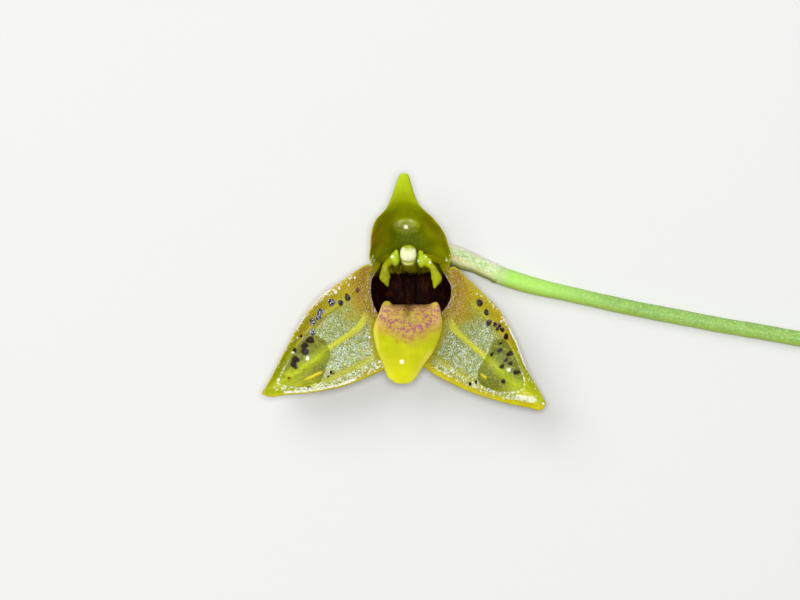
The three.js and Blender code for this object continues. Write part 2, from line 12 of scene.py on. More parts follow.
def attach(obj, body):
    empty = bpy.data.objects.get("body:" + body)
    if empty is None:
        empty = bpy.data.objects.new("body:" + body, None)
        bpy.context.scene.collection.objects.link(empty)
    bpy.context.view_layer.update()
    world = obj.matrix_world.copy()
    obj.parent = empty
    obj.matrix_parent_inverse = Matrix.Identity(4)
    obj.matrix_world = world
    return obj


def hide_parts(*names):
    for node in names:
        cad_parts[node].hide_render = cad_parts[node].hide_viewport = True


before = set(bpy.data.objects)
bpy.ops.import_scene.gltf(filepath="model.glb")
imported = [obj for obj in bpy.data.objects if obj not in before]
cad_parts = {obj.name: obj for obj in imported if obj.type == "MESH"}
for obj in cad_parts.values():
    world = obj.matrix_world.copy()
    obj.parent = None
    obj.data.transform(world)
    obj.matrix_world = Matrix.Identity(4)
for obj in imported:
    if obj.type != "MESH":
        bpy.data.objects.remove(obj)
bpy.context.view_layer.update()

MM = 0.001

# ---- Driving dimensions, in millimetres ----
SEAT = -0.06  # the sepals' bases reach this far over the cup's rim
SEAM = 0.012  # half the crease between two sepals, in steps between the rim's points
SEPAL_THICKNESS = 0.62
MARGIN_ROLL = 0.2  # radius of a blade's rounded margin
CUP_WALL = 0.6
CUP_FLAT_SHARE = 0.38
LIP_THICKNESS = 0.75
LIP_ROLL = 0.24  # radius of the lip's rounded margin
LIP_END = -7.5  # the lip's back comes no further down than this y
VEIN_HEIGHT = 0.12
VEIN_HALF_WIDTH = 0.2
WART_RISE = 0.5
OVARY_RADIUS = 0.72
OVARY_RIBS = 6
STEM_RADIUS = 0.61
STEM_OVERLAP = 0.3  # how far the stem reaches into the ovary
PAPILLA = 0.115  # spacing of the papillae

# ---- How finely the skins are divided ----
LATERAL_GRID = (290, 216, 56)  # rows, then columns on the front and on the back
DORSAL_GRID = (240, 180, 56)
LIP_ROWS, LIP_COLUMNS, LIP_BACK_COLUMNS = 260, 170, 50
CUP_SIDES = 300
OVARY_RINGS, OVARY_SIDES = 180, 120
STEM_RINGS, STEM_SIDES = 700, 44
OUTLINE_POINTS = 160  # round each water drop
DROP_RINGS = 48

# ---- Outlines, as in the CAD model: [x, y, z] ----
# The rim of the cup, clockwise from the notch at the left of the dorsal sepal.
RIM = [
    [-3.04, 2.0, 4.3], [-2.64, 2.65, 3.6], [-1.6, 2.94, 2.7], [-0.08, 3.06, 2.4],
    [1.45, 2.94, 2.7], [2.65, 2.57, 3.6], [3.15, 1.76, 4.3], [3.8, 0.56, 4.5],
    [3.87, -0.56, 4.5], [3.4, -1.68, 4.5], [2.4, -2.64, 4.4], [0.96, -3.4, 4.3],
    [-0.48, -3.68, 4.2], [-1.92, -3.28, 4.3], [-2.96, -2.32, 4.4], [-3.56, -1.12, 4.5],
    [-3.7, 0.0, 4.5], [-3.6, 1.04, 4.5],
]
LEFT_NOTCH, RIGHT_NOTCH, RIM_BOTTOM = 0, 6, 12

DORSAL_TIP = [-0.48, 9.39, 5.7]
DORSAL_LEFT = [
    [-3.26, 2.56, 4.7], [-3.17, 3.44, 5.1], [-3.12, 4.39, 5.3], [-2.8, 5.51, 5.3],
    [-1.97, 6.47, 5.2], [-1.5, 7.41, 5.2], [-1.12, 8.5, 5.4], [-0.86, 9.16, 5.6],
]
DORSAL_RIGHT = [
    [3.28, 2.64, 4.7], [3.12, 3.44, 5.1], [2.74, 4.54, 5.3], [1.92, 5.67, 5.3],
    [0.89, 6.65, 5.2], [0.45, 7.41, 5.2], [0.13, 8.4, 5.4], [-0.11, 9.13, 5.6],
]
LEFT_TIP = [-11.93, -8.33, 4.2]
LEFT_UPPER = [
    [-3.6, 2.0, 4.6], [-4.8, 1.2, 4.8], [-6.16, 0.24, 4.8], [-7.28, -0.6, 4.8],
    [-8.64, -2.32, 4.7], [-10.0, -4.8, 4.5], [-11.21, -7.12, 4.3],
]
LEFT_LOWER = [
    [-0.56, -4.8, 4.3], [-1.04, -5.68, 4.5], [-2.12, -6.4, 4.6], [-3.6, -7.08, 4.7],
    [-5.6, -7.8, 4.7], [-8.0, -8.24, 4.6], [-10.0, -8.42, 4.4], [-11.13, -8.57, 4.3],
]
RIGHT_TIP = [10.94, -9.13, 4.2]
RIGHT_UPPER = [
    [3.6, 1.84, 4.6], [4.4, 1.12, 4.8], [6.0, -0.4, 4.8], [7.2, -1.68, 4.8],
    [8.44, -3.89, 4.7], [9.41, -6.4, 4.5], [10.38, -8.08, 4.3],
]
RIGHT_LOWER = [
    [-0.34, -4.8, 4.3], [0.16, -5.52, 4.5], [1.22, -6.26, 4.6], [2.4, -7.04, 4.7],
    [4.8, -8.16, 4.7], [7.2, -8.94, 4.6], [9.64, -9.48, 4.4], [10.49, -9.63, 4.3],
]
# Where a lateral sepal's veins run, as a share of the way from its upper to its lower margin.
VEINS = [0.25, 0.565, 0.84]
MIDVEIN = 1

# Warts: [x, y, radius, length over breadth, turn in degrees].
LEFT_WARTS = [
    [-4.2, 0.0, 0.19, 1.5, 80], [-5.0, -0.57, 0.26, 1.4, 107], [-5.55, -1.0, 0.23, 1.1, 90],
    [-6.3, -0.95, 0.32, 1.15, 110], [-7.19, -1.73, 0.29, 1.1, 20], [-7.35, -2.14, 0.27, 1.1, 60],
    [-7.81, -2.52, 0.29, 1.2, 100], [-7.81, -3.36, 0.27, 1.1, 80], [-8.75, -3.67, 0.14, 1.2, 30],
    [-7.99, -4.08, 0.32, 1.1, 45], [-8.37, -4.54, 0.27, 1.15, 10], [-8.36, -5.0, 0.26, 1.1, 60],
    [-9.26, -4.84, 0.21, 1.2, 70], [-9.07, -5.64, 0.3, 1.15, 15], [-9.18, -6.04, 0.26, 1.2, 95],
    [-6.31, -6.62, 0.14, 1.4, 90], [-6.13, -6.74, 0.09, 1.1, 0], [-6.54, -6.97, 0.1, 1.2, 40],
    [-8.08, -7.8, 0.14, 1.4, 160], [-9.68, -7.0, 0.12, 1.2, 0],
]
RIGHT_WARTS = [
    [5.58, -1.0, 0.3, 1.15, 100], [6.12, -1.77, 0.25, 1.35, 92], [6.32, -2.61, 0.25, 1.4, 65],
    [6.83, -2.73, 0.2, 1.2, 80], [7.2, -2.83, 0.17, 1.2, 90], [7.04, -3.08, 0.18, 1.2, 50],
    [7.4, -3.16, 0.21, 1.1, 120], [7.71, -3.73, 0.24, 1.45, 85], [7.28, -4.36, 0.13, 1.3, 20],
    [7.24, -4.88, 0.17, 1.35, 40], [6.63, -5.18, 0.17, 1.5, 55], [7.94, -5.14, 0.24, 1.3, 30],
    [7.7, -5.64, 0.17, 1.25, 40], [8.36, -5.52, 0.16, 1.35, 90], [8.02, -5.92, 0.16, 1.1, 0],
    [7.39, -6.14, 0.2, 1.3, 35], [8.4, -6.6, 0.18, 1.0, 0], [7.5, -7.24, 0.17, 1.15, 0],
    [4.79, -7.53, 0.15, 1.2, 90], [5.26, -7.4, 0.14, 1.3, 70], [6.32, -7.99, 0.17, 1.1, 45],
]
# Where warts are ruddy: [x, y, radius].
RUDDY = [[-4.2, 0.0, 0.4], [-6.1, -6.78, 0.14], [-9.68, -7.0, 0.25]]
# Beads of water, raised a little and painted white as highlights: [x, y, radius].
LEFT_BEADS = [
    [-4.42, 0.98, 0.1], [-4.91, 0.39, 0.07], [-3.25, -3.78, 0.1], [-3.04, -4.82, 0.06],
    [-10.54, -7.19, 0.14], [-9.05, -3.8, 0.09], [-5.66, 0.12, 0.09], [-5.95, -0.15, 0.16],
    [-6.1, 0.0, 0.1], [-9.4, -5.0, 0.12],
]
RIGHT_BEADS = [
    [3.31, -6.47, 0.1], [3.46, -4.22, 0.06], [3.47, -6.65, 0.06], [5.36, -0.3, 0.07],
    [10.67, -9.1, 0.1], [7.49, -8.73, 0.06], [7.35, -2.5, 0.1], [3.1, -6.9, 0.08],
]

# Stations down the lip: x at its left and right margins, y, z, and how far the margins stand up.
LIP = [
    [-0.64, 0.53, -1.1, 1.35, 0.0], [-0.8, 0.69, -1.14, 2.6, 0.0],
    [-1.28, 1.2, -1.18, 4.0, 0.05], [-2.1, 2.12, -1.24, 5.2, 0.08],
    [-2.34, 2.41, -1.42, 6.0, 0.05], [-2.53, 2.47, -1.76, 6.4, -0.15],
    [-2.77, 2.58, -2.39, 6.65, -0.4], [-2.95, 2.52, -3.35, 6.65, -0.5],
    [-2.81, 2.23, -4.39, 6.45, -0.5], [-2.52, 1.71, -5.42, 6.2, -0.45],
    [-2.12, 0.99, -6.39, 5.8, -0.35], [-1.8, 0.56, -7.08, 5.5, -0.2],
    [-1.32, 0.11, -7.44, 5.32, -0.1], [-0.72, -0.43, -7.56, 5.26, 0.0],
]
# Orange blots on the lip: [x, y, radius].
ORANGE = [[-2.0, -3.3, 0.3], [-1.04, -4.1, 0.28], [0.24, -3.85, 0.25], [-0.3, -4.2, 0.16],
          [-2.15, -3.85, 0.22]]

# Stations of the limbs: [x, y, z, half width, half thickness].
PETAL_LEFT = [
    [-1.1, 1.62, 2.05, 0.28, 0.3], [-1.17, 2.0, 3.2, 0.3, 0.3],
    [-1.28, 2.36, 4.1, 0.33, 0.31], [-1.66, 2.24, 4.5, 0.33, 0.31],
    [-1.96, 1.84, 4.65, 0.28, 0.31], [-2.01, 1.44, 4.64, 0.34, 0.31],
    [-2.0, 1.0, 4.58, 0.45, 0.31], [-1.88, 0.6, 4.48, 0.23, 0.29],
    [-1.77, 0.3, 4.38, 0.08, 0.2],
]
PETAL_RIGHT = [
    [1.12, 1.62, 2.05, 0.28, 0.3], [1.1, 1.95, 3.2, 0.3, 0.3],
    [1.06, 2.26, 4.1, 0.33, 0.31], [1.36, 2.16, 4.5, 0.33, 0.31],
    [1.76, 1.84, 4.65, 0.27, 0.31], [1.96, 1.44, 4.64, 0.31, 0.31],
    [2.13, 0.9, 4.58, 0.43, 0.31], [2.02, 0.46, 4.48, 0.22, 0.29],
    [1.94, 0.16, 4.38, 0.08, 0.2],
]
# Each petal's shoulder: [middle, half sizes] of the swellings that make it up.
BOSSES_LEFT = [
    [[-1.2, 2.5, 4.25], [0.36, 0.56, 0.45]], [[-1.1, 2.95, 4.3], [0.16, 0.26, 0.25]],
    [[-1.38, 2.55, 4.45], [0.22, 0.26, 0.24]],
]
BOSSES_RIGHT = [
    [[0.92, 2.4, 4.25], [0.33, 0.58, 0.45]], [[0.86, 2.9, 4.35], [0.2, 0.26, 0.25]],
    [[1.22, 2.6, 4.45], [0.24, 0.24, 0.22]], [[1.5, 2.35, 4.55], [0.2, 0.18, 0.2]],
]
COLUMN_FOOT = [
    [0.01, 1.95, 1.72, 0.9, 0.24], [0.01, 1.4, 1.25, 0.85, 0.25],
    [0.01, 0.4, 1.0, 0.6, 0.26], [-0.03, -1.2, 1.0, 0.55, 0.26],
]
COLUMN_BODY = [
    [0.0, 1.5, 1.15, 0.72, 0.5], [0.0, 1.75, 2.3, 0.66, 0.52],
    [-0.08, 2.2, 3.5, 0.66, 0.56], [-0.14, 2.6, 4.35, 0.66, 0.64],
]
CAP = [[-0.14, 2.91, 4.78], [0.66, 0.7, 0.52]]

OVARY_LINE = [
    [0.1, 2.1, 0.98], [0.73, 2.78, 0.86], [1.46, 3.13, 0.82], [2.51, 3.17, 0.83],
    [3.64, 2.87, 0.85], [4.85, 2.36, 0.86], [5.98, 1.8, 0.85], [7.24, 1.2, 0.85],
]
STEM_LINE = [
    [7.36, 1.15, 0.85], [8.88, 0.65, 0.74], [10.5, 0.21, 0.65], [12.11, -0.15, 0.6],
    [15.34, -0.88, 0.58], [18.57, -1.58, 0.58], [21.8, -2.19, 0.58], [25.03, -2.82, 0.58],
    [28.26, -3.36, 0.58], [31.49, -3.94, 0.58], [35.0, -4.56, 0.58],
]

# Edges of the water drops on the sepals: [x, y], clockwise from above.
LEFT_DROP = [
    [-7.7, -3.6], [-7.2, -3.8], [-6.75, -4.1], [-6.5, -4.7], [-6.4, -5.25], [-6.65, -6.0],
    [-6.85, -6.6], [-7.1, -7.2], [-7.5, -7.65], [-8.4, -7.8], [-9.6, -7.7], [-10.5, -7.4],
    [-10.15, -6.55], [-9.6, -5.6], [-8.9, -4.5], [-8.3, -3.85],
]
RIGHT_DROP = [
    [6.8, -4.0], [6.4, -4.7], [6.1, -5.3], [5.75, -5.8], [5.5, -6.5], [5.45, -7.2],
    [5.9, -7.75], [7.0, -8.1], [8.1, -8.15], [9.0, -7.9], [9.1, -7.2], [8.8, -6.4],
    [8.5, -5.6], [8.1, -4.7], [7.6, -4.0],
]
HOOD_DROP = [
    [-1.36, 5.2], [-0.9, 5.65], [-0.3, 5.78], [0.3, 5.65], [0.8, 5.2], [0.6, 4.75],
    [0.1, 4.5], [-0.35, 4.45], [-0.85, 4.55], [-1.2, 4.8],
]
# Where the top of each drop is level.
LEFT_CREST, RIGHT_CREST, HOOD_CREST = [-8.25, -5.52], [7.93, -6.43], [-0.33, 5.07]
# Where each drop's bed turns bright, as shares of its blade's length, and the streak of light that the
# drop focuses on its bed, painted as colour.
LEFT_BRIGHT, RIGHT_BRIGHT = [0.62, 0.86], [0.66, 0.9]
LEFT_CAUSTIC = [[-8.56, -7.2], [-7.0, -6.45]]
RIGHT_CAUSTIC = [[5.7, -6.7], [6.25, -7.1]]
# Glitter, painted white as the highlights of tiny water beads: [upper margin?, from u, to u, from and to
# a distance from the margin, share of beads].
# A share above 1 also joins the beads, and from 2 on it leaves no gaps.
LEFT_GLITTER = [
    [1, 0.14, 0.32, 0.15, 0.6, 0.22], [1, 0.28, 0.58, 0.05, 0.22, 1.6], [1, 0.28, 0.54, 0.2, 0.62, 0.36],
    [1, 0.56, 0.86, 0.12, 0.5, 0.18], [0, 0.42, 0.84, 0.18, 0.4, 1.6], [0, 0.45, 0.88, 0.42, 0.85, 0.32],
    [0, 0.14, 0.44, 0.22, 0.95, 0.28],
]
RIGHT_GLITTER = [
    [1, 0.24, 0.5, 0.1, 0.55, 0.12], [1, 0.5, 0.75, 0.05, 0.34, 2.0], [1, 0.44, 0.56, 0.06, 0.3, 0.5],
    [1, 0.6, 0.86, 0.3, 0.75, 0.25], [0, 0.26, 0.66, 0.45, 1.3, 0.17], [0, 0.5, 0.72, 0.4, 1.0, 0.3],
    [0, 0.70, 0.88, 0.46, 1.05, 0.75], [0, 0.76, 0.88, 0.55, 0.95, 1.3],
]

# ---- Numbers and curves ----
def rise(low, high, x):
    """From 0 to 1 as x goes from low to high, with soft ends."""
    share = np.clip((x - low) / (high - low), 0, 1)
    return share * share * (3 - 2 * share)


def fall(low, high, x):
    """From 1 to 0 as x goes from low to high."""
    return 1 - rise(low, high, x)


def bell(x, half):
    """1 where x is 0, and less to both sides."""
    return np.exp(-(x / half) ** 2)


def sink(away, radius):
    """How far a rounded margin has sunk at a distance from its edge."""
    return radius * (1 - np.sqrt(1 - np.clip(1 - away / radius, 0, 1) ** 2))


def spline(values, t, closed=False, run_on=True):
    """The point at t (0 to 1) along a list of points, joined by a Catmull-Rom curve."""
    values = np.asarray(values, float)
    t = np.asarray(t, float)
    count = len(values)
    if closed:
        place = (t % 1) * count
        start = np.floor(place).astype(int)
        around = [values[(start + k) % count] for k in (-1, 0, 1, 2)]
    else:
        before = 2 * values[0] - values[1] if run_on else values[0]
        after = 2 * values[-1] - values[-2] if run_on else values[-1]
        padded = np.concatenate([[before], values, [after]])
        place = np.clip(t, 0, 1) * (count - 1)
        start = np.minimum(np.floor(place).astype(int), count - 2)
        around = [padded[start + k] for k in range(4)]
    f = (place - start).reshape(t.shape + (1,) * (values.ndim - 1))
    a, b, c, d = around
    h = f * f * (3 - 2 * f)
    return b + (c - b) * h + (c - a) / 2 * f * (1 - f) ** 2 - (d - b) / 2 * f * f * (1 - f)


def even_spline(points):
    """A function that gives the point at a share of the curve's length."""
    t = np.linspace(0, 1, 401)
    steps = np.linalg.norm(np.diff(spline(points, t), axis=0), axis=1)
    length = np.concatenate([[0], np.cumsum(steps)])
    return lambda share: spline(points, np.interp(share, length / length[-1], t))


def unit(vectors):
    return vectors / np.maximum(np.linalg.norm(vectors, axis=-1, keepdims=True), 1e-12)


def rim(place, outwards=0.0):
    """A point of the cup's rim, moved outwards in plan. place counts the rim's points."""
    t = np.asarray(place, float) / len(RIM)
    along = spline(RIM, t + 1e-4, True) - spline(RIM, t - 1e-4, True)
    out = unit(np.stack([-along[..., 1], along[..., 0], 0 * along[..., 0]], -1))
    return spline(RIM, t, True) + out * np.asarray(outwards)[..., None]


def mottle(x, y, size, seed):
    """Smooth noise from 0 to 1, with lumps of a size in millimetres."""
    table = np.random.default_rng(seed).random((64, 64))
    gx, gy = x / size, y / size
    i, j = np.floor(gx).astype(int), np.floor(gy).astype(int)
    fx, fy = rise(0, 1, gx - i), rise(0, 1, gy - j)
    corner = lambda di, dj: table[(i + di) % 64, (j + dj) % 64]
    low = corner(0, 0) * (1 - fx) + corner(1, 0) * fx
    high = corner(0, 1) * (1 - fx) + corner(1, 1) * fx
    return low * (1 - fy) + high * fy


def crowd(x, y, spacing, seed):
    """A crowd of tiny domes on a plane: how high each point stands on its dome, 0 to 1, and the dome's
    own random number."""
    table = np.random.default_rng(seed).random((64, 64, 3))
    x, y = np.broadcast_arrays(x, y)
    gx, gy = x / spacing, y / spacing / 0.866
    nearest = np.full(np.shape(x), 9.0)
    mark = np.zeros(np.shape(x))
    for dj in (-1, 0, 1):
        j = np.floor(gy) + dj
        shift = 0.5 * (j % 2)
        for di in (-1, 0, 1):
            i = np.floor(gx - shift) + di
            draw = table[i.astype(int) % 64, j.astype(int) % 64]
            dx = gx - (i + shift + 0.5 + 0.5 * (draw[..., 0] - 0.5))
            dy = (gy - (j + 0.5 + 0.5 * (draw[..., 1] - 0.5))) * 0.866
            away = np.hypot(dx, dy)
            closer = away < nearest
            nearest[closer] = away[closer]
            mark[closer] = draw[..., 2][closer]
    return np.sqrt(np.clip(1 - (nearest / 0.58) ** 2, 0, 1)), mark


# ---- Meshes ----
def grid_normals(points):
    """Unit normals of a grid of points, rows by columns."""
    return unit(np.cross(np.gradient(points, axis=1), np.gradient(points, axis=0)))


def grid_faces(rows, columns):
    """Quads between rings of points, turned so that round and then up the rings is anticlockwise."""
    index = np.arange(rows * columns).reshape(rows, columns)
    index = np.concatenate([index, index[:, :1]], 1)
    corners = [index[:-1, :-1], index[:-1, 1:], index[1:, 1:], index[1:, :-1]]
    return np.stack(corners, -1).reshape(-1, 4).tolist()


def strip(row, other):
    """Triangles between two rows of point numbers that run alongside each other."""
    faces, i, j = [], 0, 0
    while i < len(row) - 1 or j < len(other) - 1:
        if (i + 1) * (len(other) - 1) <= (j + 1) * (len(row) - 1) and i < len(row) - 1:
            faces.append([row[i], row[i + 1], other[j]])
            i += 1
        else:
            faces.append([row[i], other[j + 1], other[j]])
            j += 1
    return [face for face in faces if len(set(face)) == 3]


def blender_mesh(name, points, faces, fields, unit_size):
    """The mesh in Blender, with doubled points joined and its faces turned outwards. fields are the
    numbers that each point carries for its material."""
    data = bpy.data.meshes.new(name)
    data.from_pydata((points.reshape(-1, 3) * unit_size).tolist(), [], faces)
    for field, value in fields.items():
        values = np.broadcast_to(value, points.shape[:-1]).ravel().astype(np.float32)
        data.attributes.new(field, "FLOAT", "POINT").data.foreach_set("value", values)
    work = bmesh.new()
    work.from_mesh(data)
    bmesh.ops.remove_doubles(work, verts=work.verts, dist=3e-4 * unit_size)
    bmesh.ops.recalc_face_normals(work, faces=work.faces)
    work.to_mesh(data)
    work.free()
    return data


def piece(name, mesh, look, slot, *nodes):
    """Makes the Blender object: metres, smooth, riding on the flower, in place of its CAD nodes. mesh
    is its points, faces and fields."""
    data = blender_mesh(name, *mesh, MM)
    data.shade_smooth()
    data.materials.append(look)
    made = bpy.data.objects.new(name, data)
    bpy.context.scene.collection.objects.link(made)
    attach(made, "root")
    if nodes:
        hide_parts(*nodes)
    return made


def blade(front, back, front_fields, back_fields):
    """A closed blade from two grids of points that share their side margins."""
    rows, columns = front.shape[:2]
    ring = np.concatenate([front, back[:, -2:0:-1]], 1)
    fields = {}
    for name in {**front_fields, **back_fields}:
        on_front = np.broadcast_to(front_fields.get(name, 0.0), front.shape[:2])
        on_back = np.broadcast_to(back_fields.get(name, 0.0), back.shape[:2])
        fields[name] = np.concatenate([on_front, on_back[:, -2:0:-1]], 1)
    faces = grid_faces(*ring.shape[:2])
    for first in (0, (rows - 1) * ring.shape[1]):
        faces += strip([first + i for i in range(columns)],
                       [first] + [first + i for i in range(ring.shape[1] - 1, columns - 2, -1)])
    return ring, faces, fields


def tube(rings, **fields):
    """A closed skin through rings of points, with a flat cap at each end."""
    rows, sides = rings.shape[:2]
    caps = [list(range(sides)), [(rows - 1) * sides + i for i in range(sides)]]
    return rings, grid_faces(rows, sides) + caps, fields


def rings_round(middle, aside, above, wide, high):
    """Rings round each point of a curve, with their half width aside and their half height above."""
    return middle[:, None] + aside[:, None] * wide[..., None] + above[:, None] * high[..., None]


# ---- Water drops ----
def outline_of(points):
    return spline(points, np.linspace(0, 1, OUTLINE_POINTS, endpoint=False), closed=True)


def depth_inside(points, x, y):
    """How far a point is inside an outline, in millimetres, and less than 0 outside it."""
    edge = outline_of(points)
    a, b = edge, np.roll(edge, -1, 0)
    p = np.stack([np.ravel(x), np.ravel(y)], -1)[:, None]
    share = np.clip(((p - a) * (b - a)).sum(-1) / ((b - a) ** 2).sum(-1), 0, 1)
    away = np.linalg.norm(p - a - share[..., None] * (b - a), axis=-1).min(1)
    crosses = ((a[:, 1] > p[..., 1]) != (b[:, 1] > p[..., 1])) & (
        p[..., 0] < a[:, 0] + (p[..., 1] - a[:, 1]) * (b[:, 0] - a[:, 0])
        / np.where(b[:, 1] == a[:, 1], 1e-9, b[:, 1] - a[:, 1]))
    return np.where(crosses.sum(1) % 2 == 1, away, -away).reshape(np.shape(x))


def level_at_crest(top, dx, dy, share):
    """Tilts a drop's surface so that it's level at the crest, and less and less towards the edge."""
    close = np.hypot(dx, dy) < 0.25
    terms = np.stack([np.ones(close.sum()), dx[close], dy[close], dx[close] ** 2,
                      dx[close] * dy[close], dy[close] ** 2], -1)
    fit = np.linalg.lstsq(terms, top[close], rcond=None)[0]
    fade = 1 - share**2 + 0 * top
    return top - (fit[1] * dx + fit[2] * dy) * fade / fade[close].mean()


def water_drop(name, points, bed, crown, crest, roundness, cap, look):
    """A drop that wets the bed inside its outline. Its free surface is round about its crest."""
    edge = outline_of(points)
    middle = np.array(crest)
    share = (1 - (1 - np.linspace(0, 1, DROP_RINGS)) ** 1.6)[:, None]
    plan = middle + share[..., None] * (edge - middle)
    tree = BVHTree.FromObject(bed, bpy.context.evaluated_depsgraph_get())

    def floor_z(x, y):
        return tree.ray_cast(Vector((x * MM, y * MM, 0.02)), Vector((0, 0, -1)))[0].z / MM

    bottom = np.array([[floor_z(*p) for p in ring] for ring in plan])
    waves = np.fft.fft(bottom[-1])
    order = np.abs(np.fft.fftfreq(OUTLINE_POINTS, 1 / OUTLINE_POINTS))
    waves[order > 4] = 0
    top = np.real(np.fft.ifft(waves * share ** (3 * order), axis=1)) + crown * (1 - share**2) ** 0.75
    dx, dy = np.moveaxis(plan - middle, -1, 0)
    top = level_at_crest(top, dx, dy, share)
    away = np.hypot(dx, dy)
    halfway = sum(cap) / 2
    peak = top[np.abs(away - halfway) < 0.1].mean() + halfway**2 / (2 * roundness)
    top += (peak - away**2 / (2 * roundness) - top) * fall(*cap, away)
    top = np.maximum(top, bottom + 0.1 * (1 - share**4))
    top[-1] = bottom[-1] - 0.02
    rings = np.concatenate([np.dstack([plan, top]), np.dstack([plan, bottom - 0.1])[::-1]])
    drop = piece(name, tube(rings), look, "water")
    drop.visible_shadow = False
    return drop


# ---- Materials ----
class Look:
    """One node-based material, built from short formulas. Sizes are in millimetres."""

    def __init__(self, name, flesh=0.0, radius=(1.0, 0.75, 0.2), depth=0.5, **sockets):
        """flesh is the share of the light that wanders in the tissue, as far as depth times radius."""
        self.material = bpy.data.materials.new(name)
        self.material.use_nodes = True
        self.nodes, self.links = self.material.node_tree.nodes, self.material.node_tree.links
        self.nodes.clear()
        self.shader = self.new("BsdfPrincipled")
        self.new("OutputMaterial", self.shader.outputs[0])
        self.place = self.new("TexCoord").outputs["Object"]
        self.set(**sockets)
        if flesh:
            self.set(Subsurface_Weight=flesh, Subsurface_Radius=radius, Subsurface_Scale=depth * MM)

    def new(self, kind, *values):
        """A node of a kind, with its first inputs filled."""
        node = self.nodes.new("ShaderNode" + kind)
        for socket, value in zip(node.inputs, values):
            self.put(socket, value)
        return node

    def put(self, socket, value):
        if isinstance(value, bpy.types.NodeSocket):
            self.links.new(value, socket)
        elif isinstance(value, tuple) and socket.type == "RGBA":
            socket.default_value = (*value, 1.0)
        else:
            socket.default_value = value

    def set(self, **sockets):
        for name, value in sockets.items():
            self.put(self.shader.inputs[name.replace("_", " ")], value)

    def own(self, field):
        """One of the numbers that each point carries."""
        node = self.new("Attribute")
        node.attribute_name = field
        return node.outputs["Fac"]

    def math(self, kind, a, b):
        node = self.new("Math", a, b)
        node.operation = kind
        return node.outputs[0]

    def times(self, a, b):
        return self.math("MULTIPLY", a, b)

    def mix(self, share, a, b):
        node = self.new("Mix", share)
        node.data_type = "RGBA"
        self.put(node.inputs[6], a)
        self.put(node.inputs[7], b)
        return node.outputs[2]

    def rise(self, low, high, x, start=0.0, end=1.0):
        node = self.new("MapRange", x, low, high, start, end)
        node.interpolation_type = "SMOOTHSTEP"
        return node.outputs[0]

    def axis(self, index):
        """One coordinate, in millimetres."""
        return self.times(self.new("SeparateXYZ", self.place).outputs[index], 1 / MM)

    def noise(self, size, detail=2.0, stretch=(1.0, 1.0, 1.0), warp=0.0):
        """Smooth noise, about 0.3 to 0.7, with lumps of a size."""
        mapping = self.new("Mapping", self.place)
        mapping.inputs["Scale"].default_value = stretch
        node = self.new("TexNoise", mapping.outputs[0])
        node.inputs["Scale"].default_value = 1 / (size * MM)
        node.inputs["Detail"].default_value = detail
        node.inputs["Distortion"].default_value = warp
        return node.outputs["Fac"]

    def patches(self, a, b, size, detail=2.0, low=0.3, high=0.7, most=1.0):
        """Colour a with soft patches of b, which grow as the noise goes from low to high."""
        return self.mix(self.rise(low, high, self.noise(size, detail), 0.0, most), a, b)

    def throat(self, dark, light):
        """Streaks down the throat, towards the lip."""
        streaks = self.noise(0.3, 2.0, (1.0, 0.35, 0.5), 0.4)
        return self.mix(self.rise(0.45, 0.68, streaks), dark, light)

    def paint(self, shade, **colours):
        """Lays each colour over the shade, by the number of that name that each point carries."""
        for field, colour in colours.items():
            shade = self.mix(self.own(field), shade, colour)
        return shade

    def finish(self, shade, roughness, grain, depth, strength=1.0):
        """The material, with its colour and with bumps of a size and a depth."""
        bump = self.new("Bump", strength)
        bump.inputs["Distance"].default_value = depth * MM
        self.put(bump.inputs["Height"], self.noise(grain))
        self.set(Base_Color=shade, Roughness=roughness, Normal=bump.outputs[0])
        return self.material


def wet_bed(look):
    """Colours of a blade under its water drop, where no papillae show, with the painted streak of light
    that the drop focuses.
    """
    bed = look.mix(look.own("bright"), (0.10, 0.11, 0.004), (0.41, 0.42, 0.006))
    bed = look.patches(bed, (0.09, 0.115, 0.014), 0.9, 3.0, 0.35, 0.7, 0.35)
    bed = look.paint(bed, wet_vein=(0.31, 0.37, 0.002))
    bed = look.patches(bed, (0.25, 0.275, 0.03), 0.15, 1.0, 0.45, 0.62, 0.5)
    bed = look.patches(bed, (0.07, 0.085, 0.004), 0.2, 1.0, 0.5, 0.68, 0.4)
    # streak: painted light, a yellow-orange streak that the drop focuses on its bed
    return look.paint(bed, streak=(0.60, 0.44, 0.008))


